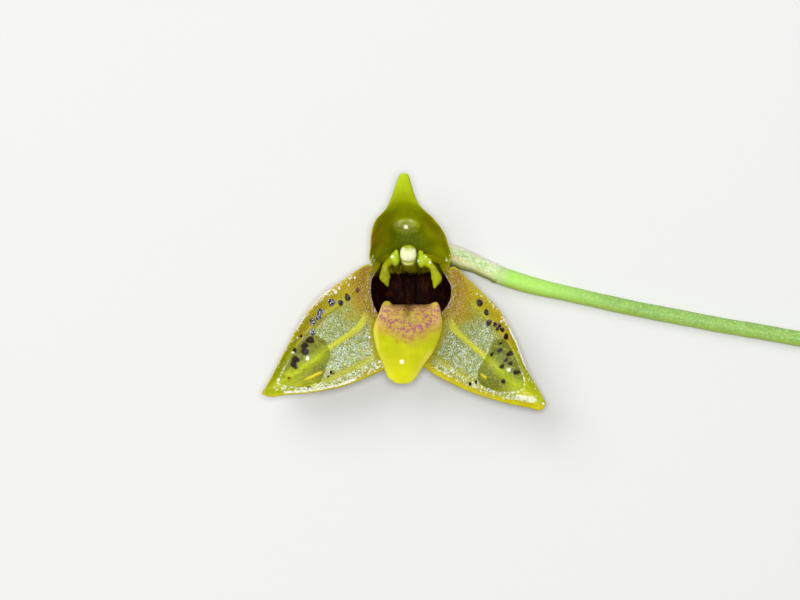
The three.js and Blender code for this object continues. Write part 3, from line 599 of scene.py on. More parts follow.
def lateral_look():
    look = Look("lateral_sepal", 0.2, Specular_IOR_Level=0.12, Coat_Roughness=0.12)
    own = look.own
    mark = own("mark")
    fine = look.noise(0.055, 1.0)
    top = look.rise(0.12, 0.85, own("dome"))
    share = look.math("ADD", look.rise(0.4, 1.0, mark, 0.0, 0.4), look.rise(0.47, 0.66, fine, 0.0, 0.7))

    def crust(gap, low, high):
        """Papillae: the shade between them, and their tops' shades."""
        return look.mix(top, gap, look.mix(share, low, high))

    body = look.paint(
        crust((0.25, 0.22, 0.006), (0.34, 0.31, 0.012), (0.50, 0.47, 0.06)),
        band=crust((0.33, 0.25, 0.004), (0.43, 0.34, 0.006), (0.56, 0.47, 0.03)),
        far=crust((0.30, 0.33, 0.003), (0.37, 0.41, 0.004), (0.46, 0.50, 0.008)))
    # silver: grey-green papillae with near-white tops, painted sparkle standing for their glints.
    silver = look.patches(crust((0.10, 0.135, 0.02), (0.22, 0.275, 0.08), (0.84, 0.92, 0.86)),
                          crust((0.20, 0.20, 0.01), (0.32, 0.34, 0.025), (0.56, 0.60, 0.14)),
                          0.2, 1.0, 0.50, 0.64)
    silver = look.patches(silver, crust((0.09, 0.12, 0.012), (0.20, 0.24, 0.04), (0.46, 0.53, 0.22)),
                          0.5, 2.0, 0.45, 0.62, 0.7)
    near = crust((0.18, 0.105, 0.005), (0.32, 0.20, 0.008), (0.46, 0.32, 0.04))
    shade = look.paint(body, silver=silver, near=near)
    # rosy: pink papillae near the cup, whose pale tops are painted glints.
    rosy = look.mix(look.times(top, look.rise(0.45, 0.6, fine)), (0.16, 0.08, 0.02), (0.64, 0.50, 0.46))
    shade = look.mix(look.times(own("rosy"), look.rise(0.5, 0.8, mark)), shade, rosy)
    # spark: painted bluish-white sparkle on the warts, where shine says.
    spark = look.times(own("shine"), look.rise(0.52, 0.6, look.noise(0.1, 1.0)))
    wart = look.mix(own("ruddy"), (0.012, 0.003, 0.007), (0.14, 0.02, 0.012))
    back = look.patches((0.36, 0.36, 0.03), (0.44, 0.42, 0.04), 0.9, 3.0, 0.35, 0.65)
    shade = look.paint(
        shade,
        side_vein=crust((0.30, 0.31, 0.01), (0.44, 0.46, 0.02), (0.56, 0.58, 0.10)),
        mid_vein=crust((0.40, 0.40, 0.010), (0.51, 0.53, 0.016), (0.66, 0.68, 0.14)),
        # The lip's painted shadow on the sepal beside it.
        lee=(0.34, 0.31, 0.006),
        tip=look.patches((0.35, 0.39, 0.003), (0.42, 0.46, 0.005), 0.9, 3.0),
        wet=wet_bed(look),
        margin=look.patches((0.50, 0.42, 0.003), (0.59, 0.53, 0.006), 0.9, 3.0),
        wart=look.mix(spark, wart, (0.66, 0.72, 0.90)),
        # glint: painted highlights, white, of the beads, the glitter and the drop's far shore
        glint=look.patches((0.66, 0.67, 0.50), (0.96, 0.96, 0.92), 0.055, 1.0, 0.35, 0.6),
        back=look.paint(back, back_vein=(0.29, 0.26, 0.015)))
    look.set(Coat_Weight=look.rise(0.0, 1.0, own("wet"), 0.12, 0.0))
    return look.finish(shade, look.rise(0.0, 1.0, own("glint"), 0.55, 0.25), 0.07, 0.012)


def dorsal_look():
    look = Look("dorsal_sepal", 0.35, depth=0.7, Specular_IOR_Level=0.06)
    shade = look.paint(
        look.patches((0.205, 0.23, 0.0004), (0.27, 0.30, 0.0008), 1.1, 3.0),
        # deep is painted shade in the hollow of the hood, above the column.
        deep=(0.085, 0.11, 0.0003),
        side=look.patches((0.20, 0.125, 0.0004), (0.24, 0.19, 0.0005), 1.1, 3.0, 0.35, 0.65),
        # The fold colour is painted shade along the arc where the hood rises to its neck.
        neck=(0.30, 0.37, 0.0005), fold=(0.19, 0.17, 0.0004), rust=(0.19, 0.13, 0.0004),
        tip=(0.46, 0.59, 0.012))
    shade = look.patches(shade, (0.30, 0.32, 0.001), 0.13, 2.0, 0.55, 0.75, 0.4)
    back = look.patches((0.26, 0.29, 0.012), (0.34, 0.35, 0.02), 1.1, 3.0, 0.35, 0.65)
    # The glint colour is a painted highlight at the hood's lower corners.
    shade = look.paint(shade, margin=(0.34, 0.34, 0.001), glint=(0.66, 0.74, 0.42),
                       back=look.paint(back, back_vein=(0.22, 0.20, 0.008)))
    return look.finish(shade, 0.6, 0.09, 0.015)


def cup_look():
    look = Look("sepal_cup", 0.05, Specular_IOR_Level=0.03)
    mark = look.own("mark")
    top = look.rise(0.1, 0.8, look.own("dome"))
    # Painted light: the olive wall is lighter low in the cup and darker near the rim, to make up for the
    # shade deep in the cup.
    olive = look.mix(look.rise(1.5, 3.6, look.axis(2)), (0.33, 0.30, 0.002), (0.17, 0.165, 0.0007))
    inside = look.paint(look.throat((0.010, 0.002, 0.0018), (0.032, 0.008, 0.0015)), olive=olive)
    papillae = look.mix(look.rise(0.3, 0.95, mark), (0.28, 0.20, 0.012), (0.45, 0.35, 0.08))
    collar = look.mix(top, (0.13, 0.08, 0.006), papillae)
    fine = look.rise(0.42, 0.58, look.noise(0.055, 1.0))
    # rosy: pink papillae on the collar, whose pale tops are painted glints.
    rosy = look.mix(look.times(top, fine), (0.14, 0.05, 0.03), (0.62, 0.48, 0.50))
    collar = look.mix(look.times(look.own("rosy"), look.rise(0.2, 0.7, mark)), collar, rosy)
    outside = look.patches((0.32, 0.30, 0.03), (0.40, 0.37, 0.045), 0.8, 3.0, 0.35, 0.65)
    shade = look.paint(inside, collar=collar, back=look.paint(outside, back_vein=(0.26, 0.19, 0.02)))
    return look.finish(shade, 0.65, 0.08, 0.012)


def petal_look():
    look = Look("petal", 0.3, Specular_IOR_Level=0.12, Coat_Weight=0.3, Coat_Roughness=0.07)
    # Painted light: the right petal is painted lighter, as lit, and the left darker, as shaded.
    shaded_side = look.patches((0.255, 0.255, 0.0006), (0.34, 0.36, 0.0015), 0.3)
    lit_side = look.patches((0.32, 0.35, 0.0006), (0.40, 0.45, 0.0015), 0.3)
    shade = look.mix(look.rise(-0.5, 0.5, look.axis(0)), shaded_side, lit_side)
    # boss is the shoulders' own colour; glint is a painted highlight, white dots where the petals catch
    # the light.
    shade = look.paint(shade, boss=look.patches((0.34, 0.47, 0.004), (0.48, 0.62, 0.03), 0.2),
                       deep=(0.24, 0.22, 0.001), glint=(0.90, 0.96, 0.85))
    return look.finish(shade, 0.5, 0.08, 0.02)


def column_look():
    look = Look("column", 0.1, Specular_IOR_Level=0.03)
    shade = look.mix(look.rise(1.5, 3.6, look.axis(2)), (0.20, 0.18, 0.002), (0.28, 0.27, 0.002))
    shade = look.paint(shade, deep=look.throat((0.008, 0.002, 0.0015), (0.028, 0.007, 0.0012)),
                       pale=(0.62, 0.64, 0.14))
    return look.finish(shade, 0.7, 0.07, 0.015)


def cap_look():
    look = Look("anther_cap", 0.4, (1.0, 0.9, 0.6), Specular_IOR_Level=0.2,
                Coat_Weight=0.15, Coat_Roughness=0.15)
    cream = look.patches((0.80, 0.82, 0.46), (0.90, 0.92, 0.62), 0.2, 3.0)
    shade = look.paint(cream, green=(0.36, 0.44, 0.008), furrow=(0.55, 0.56, 0.20))
    return look.finish(shade, 0.5, 0.07, 0.012)


def lip_look():
    look = Look("lip", 0.25, Specular_IOR_Level=0.1, Coat_Roughness=0.1)
    upper, mark = look.own("upper"), look.own("mark")
    # The yellow is painted lighter towards the tip, to make up for the light that reaches it at a slant.
    yellow = look.mix(look.rise(-4.6, -7.2, look.axis(1)), (0.50, 0.53, 0.003), (0.72, 0.72, 0.008))
    yellow = look.patches(yellow, (0.66, 0.64, 0.010), 0.9, 2.0, 0.45, 0.7, 0.6)
    ground = look.patches((0.46, 0.31, 0.035), (0.55, 0.39, 0.06), 0.3)
    shade = look.paint(
        look.mix(upper, yellow, look.paint(ground, rosy=(0.60, 0.39, 0.12))),
        centre=look.mix(mark, (0.25, 0.17, 0.01), (0.60, 0.54, 0.12)),
        pale=look.mix(upper, (0.80, 0.70, 0.08), (0.78, 0.63, 0.09)))
    ragged = look.rise(0.4, 0.6, look.noise(0.14, 2.0, (1.0, 0.5, 1.0)))
    shade = look.mix(look.times(look.own("orange"), ragged), shade, (0.52, 0.25, 0.010))
    shade = look.paint(shade, spots=look.mix(mark, (0.28, 0.07, 0.11), (0.40, 0.13, 0.20)))
    torn = look.rise(0.42, 0.55, look.noise(0.1, 1.0), 0.25, 1.0)
    shade = look.mix(look.times(look.own("notch"), torn), shade, (0.09, 0.016, 0.004))
    shade = look.paint(
        shade, ear=look.patches((0.46, 0.38, 0.02), (0.56, 0.50, 0.05), 0.9),
        margin=(0.76, 0.62, 0.03), back=(0.48, 0.46, 0.015), claw=(0.06, 0.015, 0.006),
        # glint is a painted highlight on the lower lip.
        glint=(1.0, 1.0, 0.97))
    look.set(Coat_Weight=look.rise(0.0, 1.0, upper, 0.25, 0.03))
    return look.finish(shade, 0.5, 0.07, 0.015, look.rise(0.0, 1.0, upper))


def ovary_look():
    look = Look("ovary", 0.25, (0.8, 1.0, 0.5), Specular_IOR_Level=0.12,
                Coat_Weight=0.05, Coat_Roughness=0.25)
    shade = look.patches((0.46, 0.61, 0.24), (0.60, 0.72, 0.34), 0.8, 3.0, 0.35, 0.65)
    # rosy is pinkish white along the edge towards the dorsal sepal, its own colour brightened as a
    # painted highlight along that edge.
    shade = look.paint(shade, rosy=(0.95, 0.84, 0.76), lemon=(0.72, 0.73, 0.34))
    uneven = look.rise(0.3, 0.7, look.noise(0.3), 0.7, 1.0)
    shade = look.mix(look.times(look.own("blush"), uneven), shade, (0.76, 0.42, 0.17))
    # Pale specks: painted highlights on the ovary's skin.
    shade = look.patches(shade, (0.84, 0.91, 0.74), 0.2, 1.0, 0.42, 0.72, 0.7)
    # under is painted shade along the ovary's underside.
    shade = look.paint(shade, green=(0.42, 0.70, 0.16), under=(0.19, 0.22, 0.008))
    return look.finish(shade, 0.5, 0.09, 0.02)


def stem_look():
    look = Look("stem", 0.25, (0.6, 1.0, 0.25), Specular_IOR_Level=0.12,
                Coat_Weight=0.05, Coat_Roughness=0.25)
    shade = look.patches((0.25, 0.43, 0.10), (0.30, 0.50, 0.12), 0.7, 3.0)
    shade = look.paint(shade, fresh=(0.42, 0.76, 0.13))
    shade = look.patches(shade, (0.52, 0.80, 0.28), 0.17, 2.0, 0.48, 0.68, 0.5)
    cut = look.mix(look.rise(0.25, 0.4, look.own("core")), (0.72, 0.80, 0.48), (0.45, 0.62, 0.2))
    shade = look.paint(shade, lemon=(0.42, 0.56, 0.05), rosy=(0.56, 0.66, 0.33), cut=cut)
    return look.finish(shade, 0.5, 0.1, 0.025)


def water_look():
    look = Look("water", Base_Color=(0.99, 1.0, 0.98), Roughness=0.15, IOR=1.333,
                Transmission_Weight=1.0)
    return look.material


def table_look():
    return Look("table", Roughness=0.7, Specular_IOR_Level=0.2, Base_Color=(0.72, 0.72, 0.715)).material


# ---- Sepals ----
def sepal_face(rim_from, rim_to, first_margin, last_margin, tip, fade):
    """place(u, v) on a face between two margins that meet at the tip, and its width at u."""

    def base(v):
        return rim(rim_from + SEAM + (rim_to - rim_from - 2 * SEAM) * v, SEAT)

    ends = base(np.array([0.0, 1.0]))
    first = even_spline([ends[0], *first_margin, tip])
    last = even_spline([ends[1], *last_margin, tip])

    def place(u, v):
        chord = ends[0] + (ends[1] - ends[0]) * v[..., None]
        curve = (base(v) - chord) * ((1 - u) ** fade)[..., None]
        return first(u) + (last(u) - first(u)) * v[..., None] + curve

    return place, lambda u: np.linalg.norm(first(u) - last(u), axis=-1)


def rows_and_columns(rows, columns, crowded=0.6):
    """u down a grid and v across it, with the columns closer together at the margins."""
    even = np.linspace(0, 1, columns)
    across = even + crowded * (0.5 - 0.5 * np.cos(np.pi * even) - even)
    return np.linspace(0, 1, rows)[:, None], across[None, :]


def hollow(depth, full, fade, gone, margin, u, v):
    """How deep a blade dips between its margins, over part of its length."""
    run = rise(0, full, u) * fall(fade, gone, u)
    return depth * run * rise(0, margin, 1 - np.abs(2 * v - 1))


def ridge(v, vein, width, half):
    """1 along a vein, and less to its sides."""
    return bell((v - vein) * width, half)


def band(low, high, x, soft):
    """1 between low and high, with soft ends."""
    return rise(low - soft, low + soft, x) * fall(high - soft, high + soft, x)


def sepal_grids(face, relief, thickness, power, rows, columns, back_columns):
    """The bare front with its u, v, width and normals, and the same for the back, thickened."""
    place, width = face
    grids = []
    for count in (columns, back_columns):
        u, v = rows_and_columns(rows, count)
        bare = place(u, v)
        w = width(u)
        bare[..., 2] += relief(u, v, w)
        grids.append([u, v, w, bare, grid_normals(bare)])
    u, v, w, bare, normal = grids[1]
    roll = np.minimum(MARGIN_ROLL, 0.3 * w)
    across = np.sqrt(np.clip(1 - np.abs(2 * v - 1) ** power(u), 0, 1))
    bare[..., 2] -= roll + (thickness(u, w) / np.maximum(normal[..., 2], 0.6) - roll) * across
    return grids


def rolled(bare, v, w):
    """The front with its margins rolled down, and the distance of each point from the margin."""
    edge = np.minimum(v, 1 - v) * w
    front = bare.copy()
    front[..., 2] -= sink(edge, np.minimum(MARGIN_ROLL, 0.3 * w) + 1e-9)
    return front, edge


def warts_at(warts, x, y):
    """Where the warts are, 0 to 1, and how high they stand."""
    mask, lump = np.zeros(x.shape), np.zeros(x.shape)
    for k, (wx, wy, radius, stretch, turn) in enumerate(warts):
        c, s = math.cos(math.radians(turn)), math.sin(math.radians(turn))
        along, aside = (x - wx) * c + (y - wy) * s, (y - wy) * c - (x - wx) * s
        wave = 0.07 * np.sin(3 * np.arctan2(aside, along) + 2.1 * k)
        away = np.hypot(along / stretch**0.6, aside * stretch**0.4) / (radius * (1 + wave))
        mask = np.maximum(mask, fall(0.75, 1.12, away))
        lump = np.maximum(lump, WART_RISE * radius * np.clip(1 - away**2, 0, 1))
    return mask, lump


def dots_at(dots, x, y):
    """1 inside any of the round dots [x, y, radius], 0 outside."""
    return np.max([fall(0.7, 1.15, np.hypot(x - dx, y - dy) / radius)
                   for dx, dy, radius in dots], axis=0)


def glitter_at(glitter, u, upper_away, lower_away, x, y, seed):
    """Painted highlights of water beads too small to tell apart, along the margins."""
    bead, luck = crowd(x, y, 0.13, seed)
    thick_here = 0.7 + 0.6 * mottle(x, y, 0.45, seed + 1)
    shine = 0.55 + 0.45 * mottle(x, y, 0.2, seed + 2)
    gaps = rise(0.4, 0.58, mottle(x, y, 0.16, seed + 3))
    found = np.zeros(x.shape)
    for upper, start, stop, inner, outer, share in glitter:
        away = upper_away if upper else lower_away
        thick = band(start, stop, u, 0.025) * band(inner, outer, away, 0.06)
        solid = np.maximum(share >= 2, gaps) * (share > 1) * rise(0.25, 0.5, thick * thick_here)
        lit = rise(0.4, 0.75, bead) * (luck < share * thick * thick_here) * shine
        found = np.maximum(found, np.maximum(lit, 0.85 * solid))
    return found


def beyond_lip(x, y):
    """How far a point is to the side of the lip, in plan, in millimetres."""
    stations = np.array(LIP[3:])[::-1]
    left = np.interp(y, stations[:, 2], stations[:, 0])
    right = np.interp(y, stations[:, 2], stations[:, 1])
    return np.maximum(left - x, x - right)


def shore_at(inside, along, x, y, seed):
    """Glints round the far end of a drop, where along is large."""
    shore = band(-0.16, -0.02, inside, 0.05) * rise(0.72, 0.8, along)
    return 0.8 * shore * rise(0.4, 0.75, mottle(x, y, 0.12, seed))


def vein_colours(veins, u, v, w):
    """Where the midvein shows in the colours, and where the veins beside it show."""
    broad = 0.19 + 0.07 * fall(0.0, 0.3, u)
    mid = rise(0.15, 0.7, ridge(v, veins[MIDVEIN], w, broad))
    mid = mid * rise(0.02, 0.12, u) * fall(0.84, 0.96, u)
    upper = ridge(v, veins[0], w, 0.2) * rise(0.1, 0.2, u) * fall(0.3, 0.42, u)
    lower = ridge(v, veins[2], w, 0.25) * rise(0.1, 0.28, u) * fall(0.5, 0.78, u)
    return mid, 0.7 * np.maximum(upper, lower)


def zones(u, outer, wander):
    """Where a lateral sepal's ground changes colour, along the blade and across it."""
    return dict(near=(1 - 0.7 * rise(0.5, 0.62, outer)) * fall(0.04, 0.2, u + wander),
                rosy=fall(0.01, 0.055, u + 0.5 * wander),
                band=fall(0.16, 0.34, outer + wander),
                far=rise(0.52, 0.68, u + 0.8 * wander),
                tip=rise(0.84, 0.92, u + 0.3 * wander))


def silver_at(u, outer, wander):
    """Where the papillae are silvery and painted with sparkle: along the middle of a blade, and sooner
    below its midvein.
    """
    above = fall(0.5, 0.62, outer)
    across = rise(0.19, 0.36, outer + wander) * fall(0.86, 0.97, outer + wander)
    return across * rise(0.0, 0.15, u + wander - 0.1 * above) * fall(0.66, 0.78, u + wander)


def streak_at(streak, x, y):
    """1 along the middle of a streak between two points, 0 away from it."""
    a, b = np.array(streak)
    share = np.clip(((x - a[0]) * (b - a)[0] + (y - a[1]) * (b - a)[1]) / ((b - a) ** 2).sum(), 0, 1)
    off = np.hypot(x - a[0] - share * (b - a)[0], y - a[1] - share * (b - a)[1])
    return bell(off, 0.1) * rise(0, 0.25, share) * fall(0.75, 1, share)


def lateral_sepal(name, node, face, mirrored, warts, beads, drop, bright_end, streak, glitter,
                  lower_margin, shine, look, seed):
    veins = [1 - vein for vein in VEINS] if mirrored else VEINS

    def relief(u, v, w):
        run = rise(0.02, 0.25, u) * fall(0.82, 0.97, u)
        bumps = sum(ridge(v, vein, w, VEIN_HALF_WIDTH) for vein in veins)
        return VEIN_HEIGHT * run * bumps - hollow(1.05, 0.34, 0.7, 1, 0.62, u, v)

    thickness = lambda u, w: np.minimum(SEPAL_THICKNESS, 0.8 * w)
    (u, v, w, bare, normal), (bu, bv, bw, back, _) = sepal_grids(
        face, relief, thickness, lambda u: 6, *LATERAL_GRID)
    x, y = bare[..., 0], bare[..., 1]
    front, edge = rolled(bare, v, w)
    outer = 1 - v if mirrored else v  # from the upper margin to the lower
    wander = 0.08 * (mottle(x, y, 0.7, seed) - 0.5)
    mid, side = vein_colours(veins, u, v, w)
    inside = depth_inside(drop, x, y)
    wet = rise(-0.02, 0.05, inside)
    dome, mark = crowd(x, y, PAPILLA, seed + 1)
    mark = np.clip(mark + 0.3 * rise(0.5, 0.8, outer), 0, 1)
    wart, lump = warts_at(warts, x, y)
    # Beads, glitter and the drop's far shore are raised a little and painted white as highlights.
    bead = dots_at(beads, x, y)
    glint = glitter_at(glitter, u, outer * w, (1 - outer) * w, x, y, seed + 5)
    glint = np.maximum(glint, shore_at(inside, u + 0.2 * outer, x, y, seed + 7))
    glint = np.maximum(glint * (1 - wet), bead)

    calm = (1 - 0.6 * mid) * rise(0.0, 0.2, edge) * rise(0, 0.04, 1 - u) * (1 - 0.8 * wet)
    rough = 0.05 * (mottle(x, y, 0.45, seed + 2) - 0.5) * rise(0.0, 0.2, edge)
    high = (0.036 * dome * (0.5 + mark) + rough) * calm + lump + 0.03 * glint + 0.05 * bead
    front += normal * high[..., None]

    bright = rise(*bright_end, u + 0.4 * (outer - 0.5) + wander)
    margin_from = np.where(outer < 0.5, 0.08, 0.3 * lower_margin)
    margin_to = np.where(outer < 0.5, 0.2, lower_margin)
    fields = dict(
        dome=dome, mark=mark, wart=wart, wet=wet, glint=glint, mid_vein=mid, side_vein=side,
        # streak: painted light that the drop focuses on its bed
        ruddy=dots_at(RUDDY, x, y), shine=shine(x, y), streak=streak_at(streak, x, y),
        silver=silver_at(u, outer, wander) * (1 - 0.8 * mid) * (1 - side),
        # The lip's painted shadow on the sepal beside it.
        lee=fall(0.12, 0.5, beyond_lip(x, y)) * rise(-1.5, -2.5, y),
        bright=np.maximum(bright, 0.6 * rise(0.24, 0.1, outer)),
        wet_vein=ridge(v, veins[MIDVEIN], w, 0.36) * rise(0.3, 0.5, u) * fall(0.8, 0.92, u),
        margin=fall(margin_from, margin_to, edge + 0.5 * wander),
        **zones(u, outer, wander))
    keel = sum(ridge(bv, vein, bw, 0.3) for vein in veins) * fall(0.8, 0.95, bu) * rise(0, 0.1, bu)
    back[..., 2] -= 0.08 * keel
    mesh = blade(front, back, fields, dict(back=1.0, back_vein=0.6 * keel, mark=0.5))
    return piece(name, mesh, look, "lateral_tissue", node)


def dorsal_sepal():
    face = sepal_face(LEFT_NOTCH, RIGHT_NOTCH, DORSAL_LEFT, DORSAL_RIGHT, DORSAL_TIP, 1.8)

    def relief(u, v, w):
        bulge = 0.22 * w * rise(0.6, 0.82, u) * (1 - (2 * v - 1) ** 2)
        return bulge - hollow(1.3, 0.32, 0.38, 0.7, 0.85, u, v)

    tail = lambda u: rise(0.55, 0.8, u)
    thickness = lambda u, w: SEPAL_THICKNESS + (np.minimum(1.25, 0.8 * w) - SEPAL_THICKNESS) * tail(u)
    (u, v, w, bare, normal), (bu, bv, bw, back, _) = sepal_grids(
        face, relief, thickness, lambda u: 6 - 4 * tail(u), *DORSAL_GRID)
    x, y = bare[..., 0], bare[..., 1]
    front, edge = rolled(bare, v, w)
    dome, mark = crowd(x, y, 0.13, 31)
    lumps = 0.05 * (mottle(x, y, 0.6, 32) - 0.5) * rise(0, 0.3, edge) * rise(0, 0.05, 1 - u)
    ribs = 0.03 * sum(ridge(v, vein, w, 0.2) for vein in (0.3, 0.5, 0.7))
    ribs = ribs * rise(0.1, 0.3, u) * fall(0.6, 0.8, u)
    grain = 0.006 * dome * rise(0, 0.2, edge) * rise(0, 0.04, 1 - u)
    front += normal * (lumps + ribs + grain)[..., None]
    keel = sum(ridge(bv, vein, bw, 0.28) for vein in (0.28, 0.5, 0.72)) * fall(0.6, 0.8, bu)
    back[..., 2] -= 0.07 * keel * rise(0.02, 0.15, bu)
    back_fields = dict(back=fall(0.6, 0.85, bu), back_vein=0.5 * keel, neck=1.0,
                       tip=rise(0.66, 0.92, bu))
    mesh = blade(front, back, hood_fields(u, v, x, y, edge, dome, mark), back_fields)
    return piece("dorsal_blade", mesh, dorsal_look(), "dorsal_tissue", "dorsal_sepal")


def hood_fields(u, v, x, y, edge, dome, mark):
    """The colours of the dorsal sepal's front: its hood, its two corners and its tail, with painted
    shade in the hollow and along the fold, and painted highlights at the corners.
    """
    aside = np.abs(2 * v - 1)
    wander = mottle(x, y, 0.9, 33) - 0.5
    fold = np.hypot((x + 0.3) / 1.9, (y - 5.0) / 1.55) + 0.12 * wander
    corner = fall(0.02, 0.13, u) * rise(0.72, 0.85, aside) * fall(0.95, 1.0, aside)
    side = rise(0.40, 0.85, aside + 0.2 * wander) * band(0.14, 0.5, u, 0.09)
    return dict(
        margin=fall(0.04, 0.14, edge) * fall(0.5, 0.7, u),
        # Painted shade where the hood is deepest, above the column.
        deep=fall(0.15, 0.7, aside + 0.3 * wander) * fall(0.26, 0.44, u),
        side=side * (1 - 0.5 * rise(0, 1, x)),
        neck=rise(0.35, 0.6, u + 0.05 * wander),
        tip=rise(0.62, 0.95, u),
        # Painted shade in an arc where the hood's wall rises to the neck.
        fold=0.2 * bell(fold - 1, 0.16) * rise(4.6, 5.6, y),
        rust=0.5 * bell(np.abs(x + 0.2) - 1.5, 0.5) * bell(y - 5.6, 0.6),
        # glint: painted highlights at the hood's two lower corners
        glint=rise(0.5, 0.8, dome) * (mark < 0.35 * corner))


# ---- Cup ----
def cup_wall(around, outwards, floor, share, level):
    """A ring of the cup's wall, from level 0 at the rim to level 1 at the floor, a share as wide."""
    angle = level * np.pi / 2
    plan = share + (1 - share) * max(np.cos(angle), 0) ** 0.8
    height = 1 - np.sin(angle) ** 1.1
    point = rim(around, outwards)
    point[:, :2] *= plan
    point[:, 2] = floor + (point[:, 2] - floor) * height
    return point


def cup_rings(around, upper_arc):
    """Rings up the outside, over the rim and down the inside, and each ring's place, -1 to 2."""
    outer_levels = np.linspace(1, 0, 36)
    widths = np.linspace(0, 1, 24)[1:-1]
    inner_levels = np.linspace(0, 1, 56) ** 1.3
    rings = [cup_wall(around, 0, 0, CUP_FLAT_SHARE, level) for level in outer_levels]
    for share in widths:
        point = rim(around, -CUP_WALL * share)
        point[:, 2] += 0.06 * np.sin(np.pi * share) ** 0.7 * (1 - upper_arc)
        rings.append(point)
    rings += [cup_wall(around, -CUP_WALL, CUP_WALL, CUP_FLAT_SHARE * 0.8, level)
              for level in inner_levels]
    return np.array(rings), np.concatenate([-outer_levels, widths, 1 + inner_levels])[:, None]


def sepal_cup():
    around = -np.arange(CUP_SIDES) * len(RIM) / CUP_SIDES
    upper_arc = rise(1.5, 2.3, rim(around)[:, 1])
    rings, place = cup_rings(around, upper_arc)
    x, y = rings[..., 0], rings[..., 1]
    wander = mottle(x, y, 0.3, 42) - 0.5
    dome, mark = crowd(x, y, PAPILLA, 41)
    collar = rise(-0.05, 0.05, place) * fall(0.95, 1.05, place + 0.12 * wander) * (1 - upper_arc)
    rings[..., 2] += 0.05 * dome * (0.5 + mark) * collar * rise(-0.05, 0.1, place)
    nerves = 0.012 * np.sin(around * 2 * np.pi / len(RIM) * 40 + 2 * np.sin(around))
    inward = rise(1.04, 1.2, place) * fall(1.7, 1.95, place)
    rings[..., :2] *= (1 + nerves * inward)[..., None]
    turn = np.arctan2(y + 0.3, x)
    drips = mottle(turn * 12 + 40, place, 1.0, 44) - 0.5
    olive = rise(1.3, 1.6, y + 0.15 * wander + 0.4 * drips) * fall(1.85, 2.0, place)
    olive = np.maximum(olive, upper_arc * (place < 1.3))
    flank = rise(0.9, 1.6, y) * band(0.4, 1.3, place, 0.15)
    keel = bell(around[None, :] % 6 - 3, 0.35) * fall(-0.2, 0.0, place)
    mesh = tube(rings, dome=dome, mark=mark, collar=collar * (1 - flank),
                olive=np.maximum(olive, flank), back=fall(-0.06, 0.02, place),
                back_vein=0.5 * keel, rosy=rise(0.35, 0.9, place + 0.3 * wander))
    return piece("cup_wall", mesh, cup_look(), "cup_tissue", "sepal_cup")


# ---- Lip ----
def lip_face(columns):
    """The bare face of the lip: u, v, width, points, the way it faces, and its two ears, 0 to 1."""
    stations = np.array(LIP)
    u, v = rows_and_columns(LIP_ROWS, columns, 0.5)
    at = spline(stations, u[:, 0], run_on=False)
    left, right, sy, sz, lift = at.T[..., None]
    before = spline(stations, np.clip(u[:, 0] - 0.02, 0, 1), run_on=False)
    after = spline(stations, np.clip(u[:, 0] + 0.02, 0, 1), run_on=False)
    run = unit((after - before)[:, 2:4])
    facing = np.stack([0 * run[:, 0], run[:, 1], -run[:, 0]], -1)[:, None, :]
    aside = np.abs(2 * v - 1)
    groove = 0.22 * rise(0.15, 0.3, u) * fall(0.42, 0.58, u) * bell(aside, 0.16)
    point = np.zeros((len(u), v.shape[1], 3))
    point[..., 0] = right + (left - right) * v
    point[..., 1] = sy
    point[..., 2] = sz
    left_ear = rise(0.77, 0.89, v) * (1 - 0.5 * rise(0.92, 1.0, v))
    right_ear = 0.75 * fall(0.08, 0.22, v) * (0.6 + 0.4 * rise(0.0, 0.05, v))
    ears = np.maximum(left_ear, right_ear) * bell(u - 0.275, 0.05)
    power = 7 - 4.8 * rise(0.3, 0.42, u)
    point += facing * (lift * aside**power - groove)[..., None]
    point[..., 1] += 0.42 * ears
    return u, v, right - left, point, facing, ears


def lip_back(front):
    """The back of the lip, thickened from its bare face, and joined to the front at both ends."""
    _, v, w, back, _, _ = lip_face(LIP_BACK_COLUMNS)
    across = np.sqrt(np.clip(1 - np.abs(2 * v - 1) ** 4, 0, 1))
    roll = np.minimum(LIP_ROLL, 0.25 * w)
    depth = roll + (np.minimum(LIP_THICKNESS, 0.55 * w) - roll) * across
    back = back - grid_normals(back) * depth[..., None]
    back[:, 0], back[:, -1] = front[:, 0], front[:, -1]
    back[..., 1] = np.maximum(back[..., 1], LIP_END)
    return back


def lip_spots(x, y, z, wander):
    """The mottling above the bend: large and small spots that fade towards the tip."""
    bent = x + 0.2 * (mottle(x, y, 0.3, 56) - 0.5)
    down = y - 0.9 * z
    blot, size = crowd(bent, down * 0.95, 0.28, 55)
    small, luck = crowd(bent + 3.0, down, 0.15, 57)
    limit = -3.95 + 0.26 * (x + 0.1) ** 2
    specks = 0.7 * rise(0.4, 0.9, small) * (luck < 0.14)
    spots = np.maximum(rise(0.0, 0.35, blot - 0.28 - 0.7 * size), specks)
    spots = spots * rise(limit - 0.1, limit + 0.5, y + 0.4 * wander)
    return spots * (1 - 0.9 * spot(x, y, -0.1, -2.0, 0.45))


def spot(x, y, middle_x, middle_y, radius):
    return bell(np.hypot(x - middle_x, y - middle_y), radius)


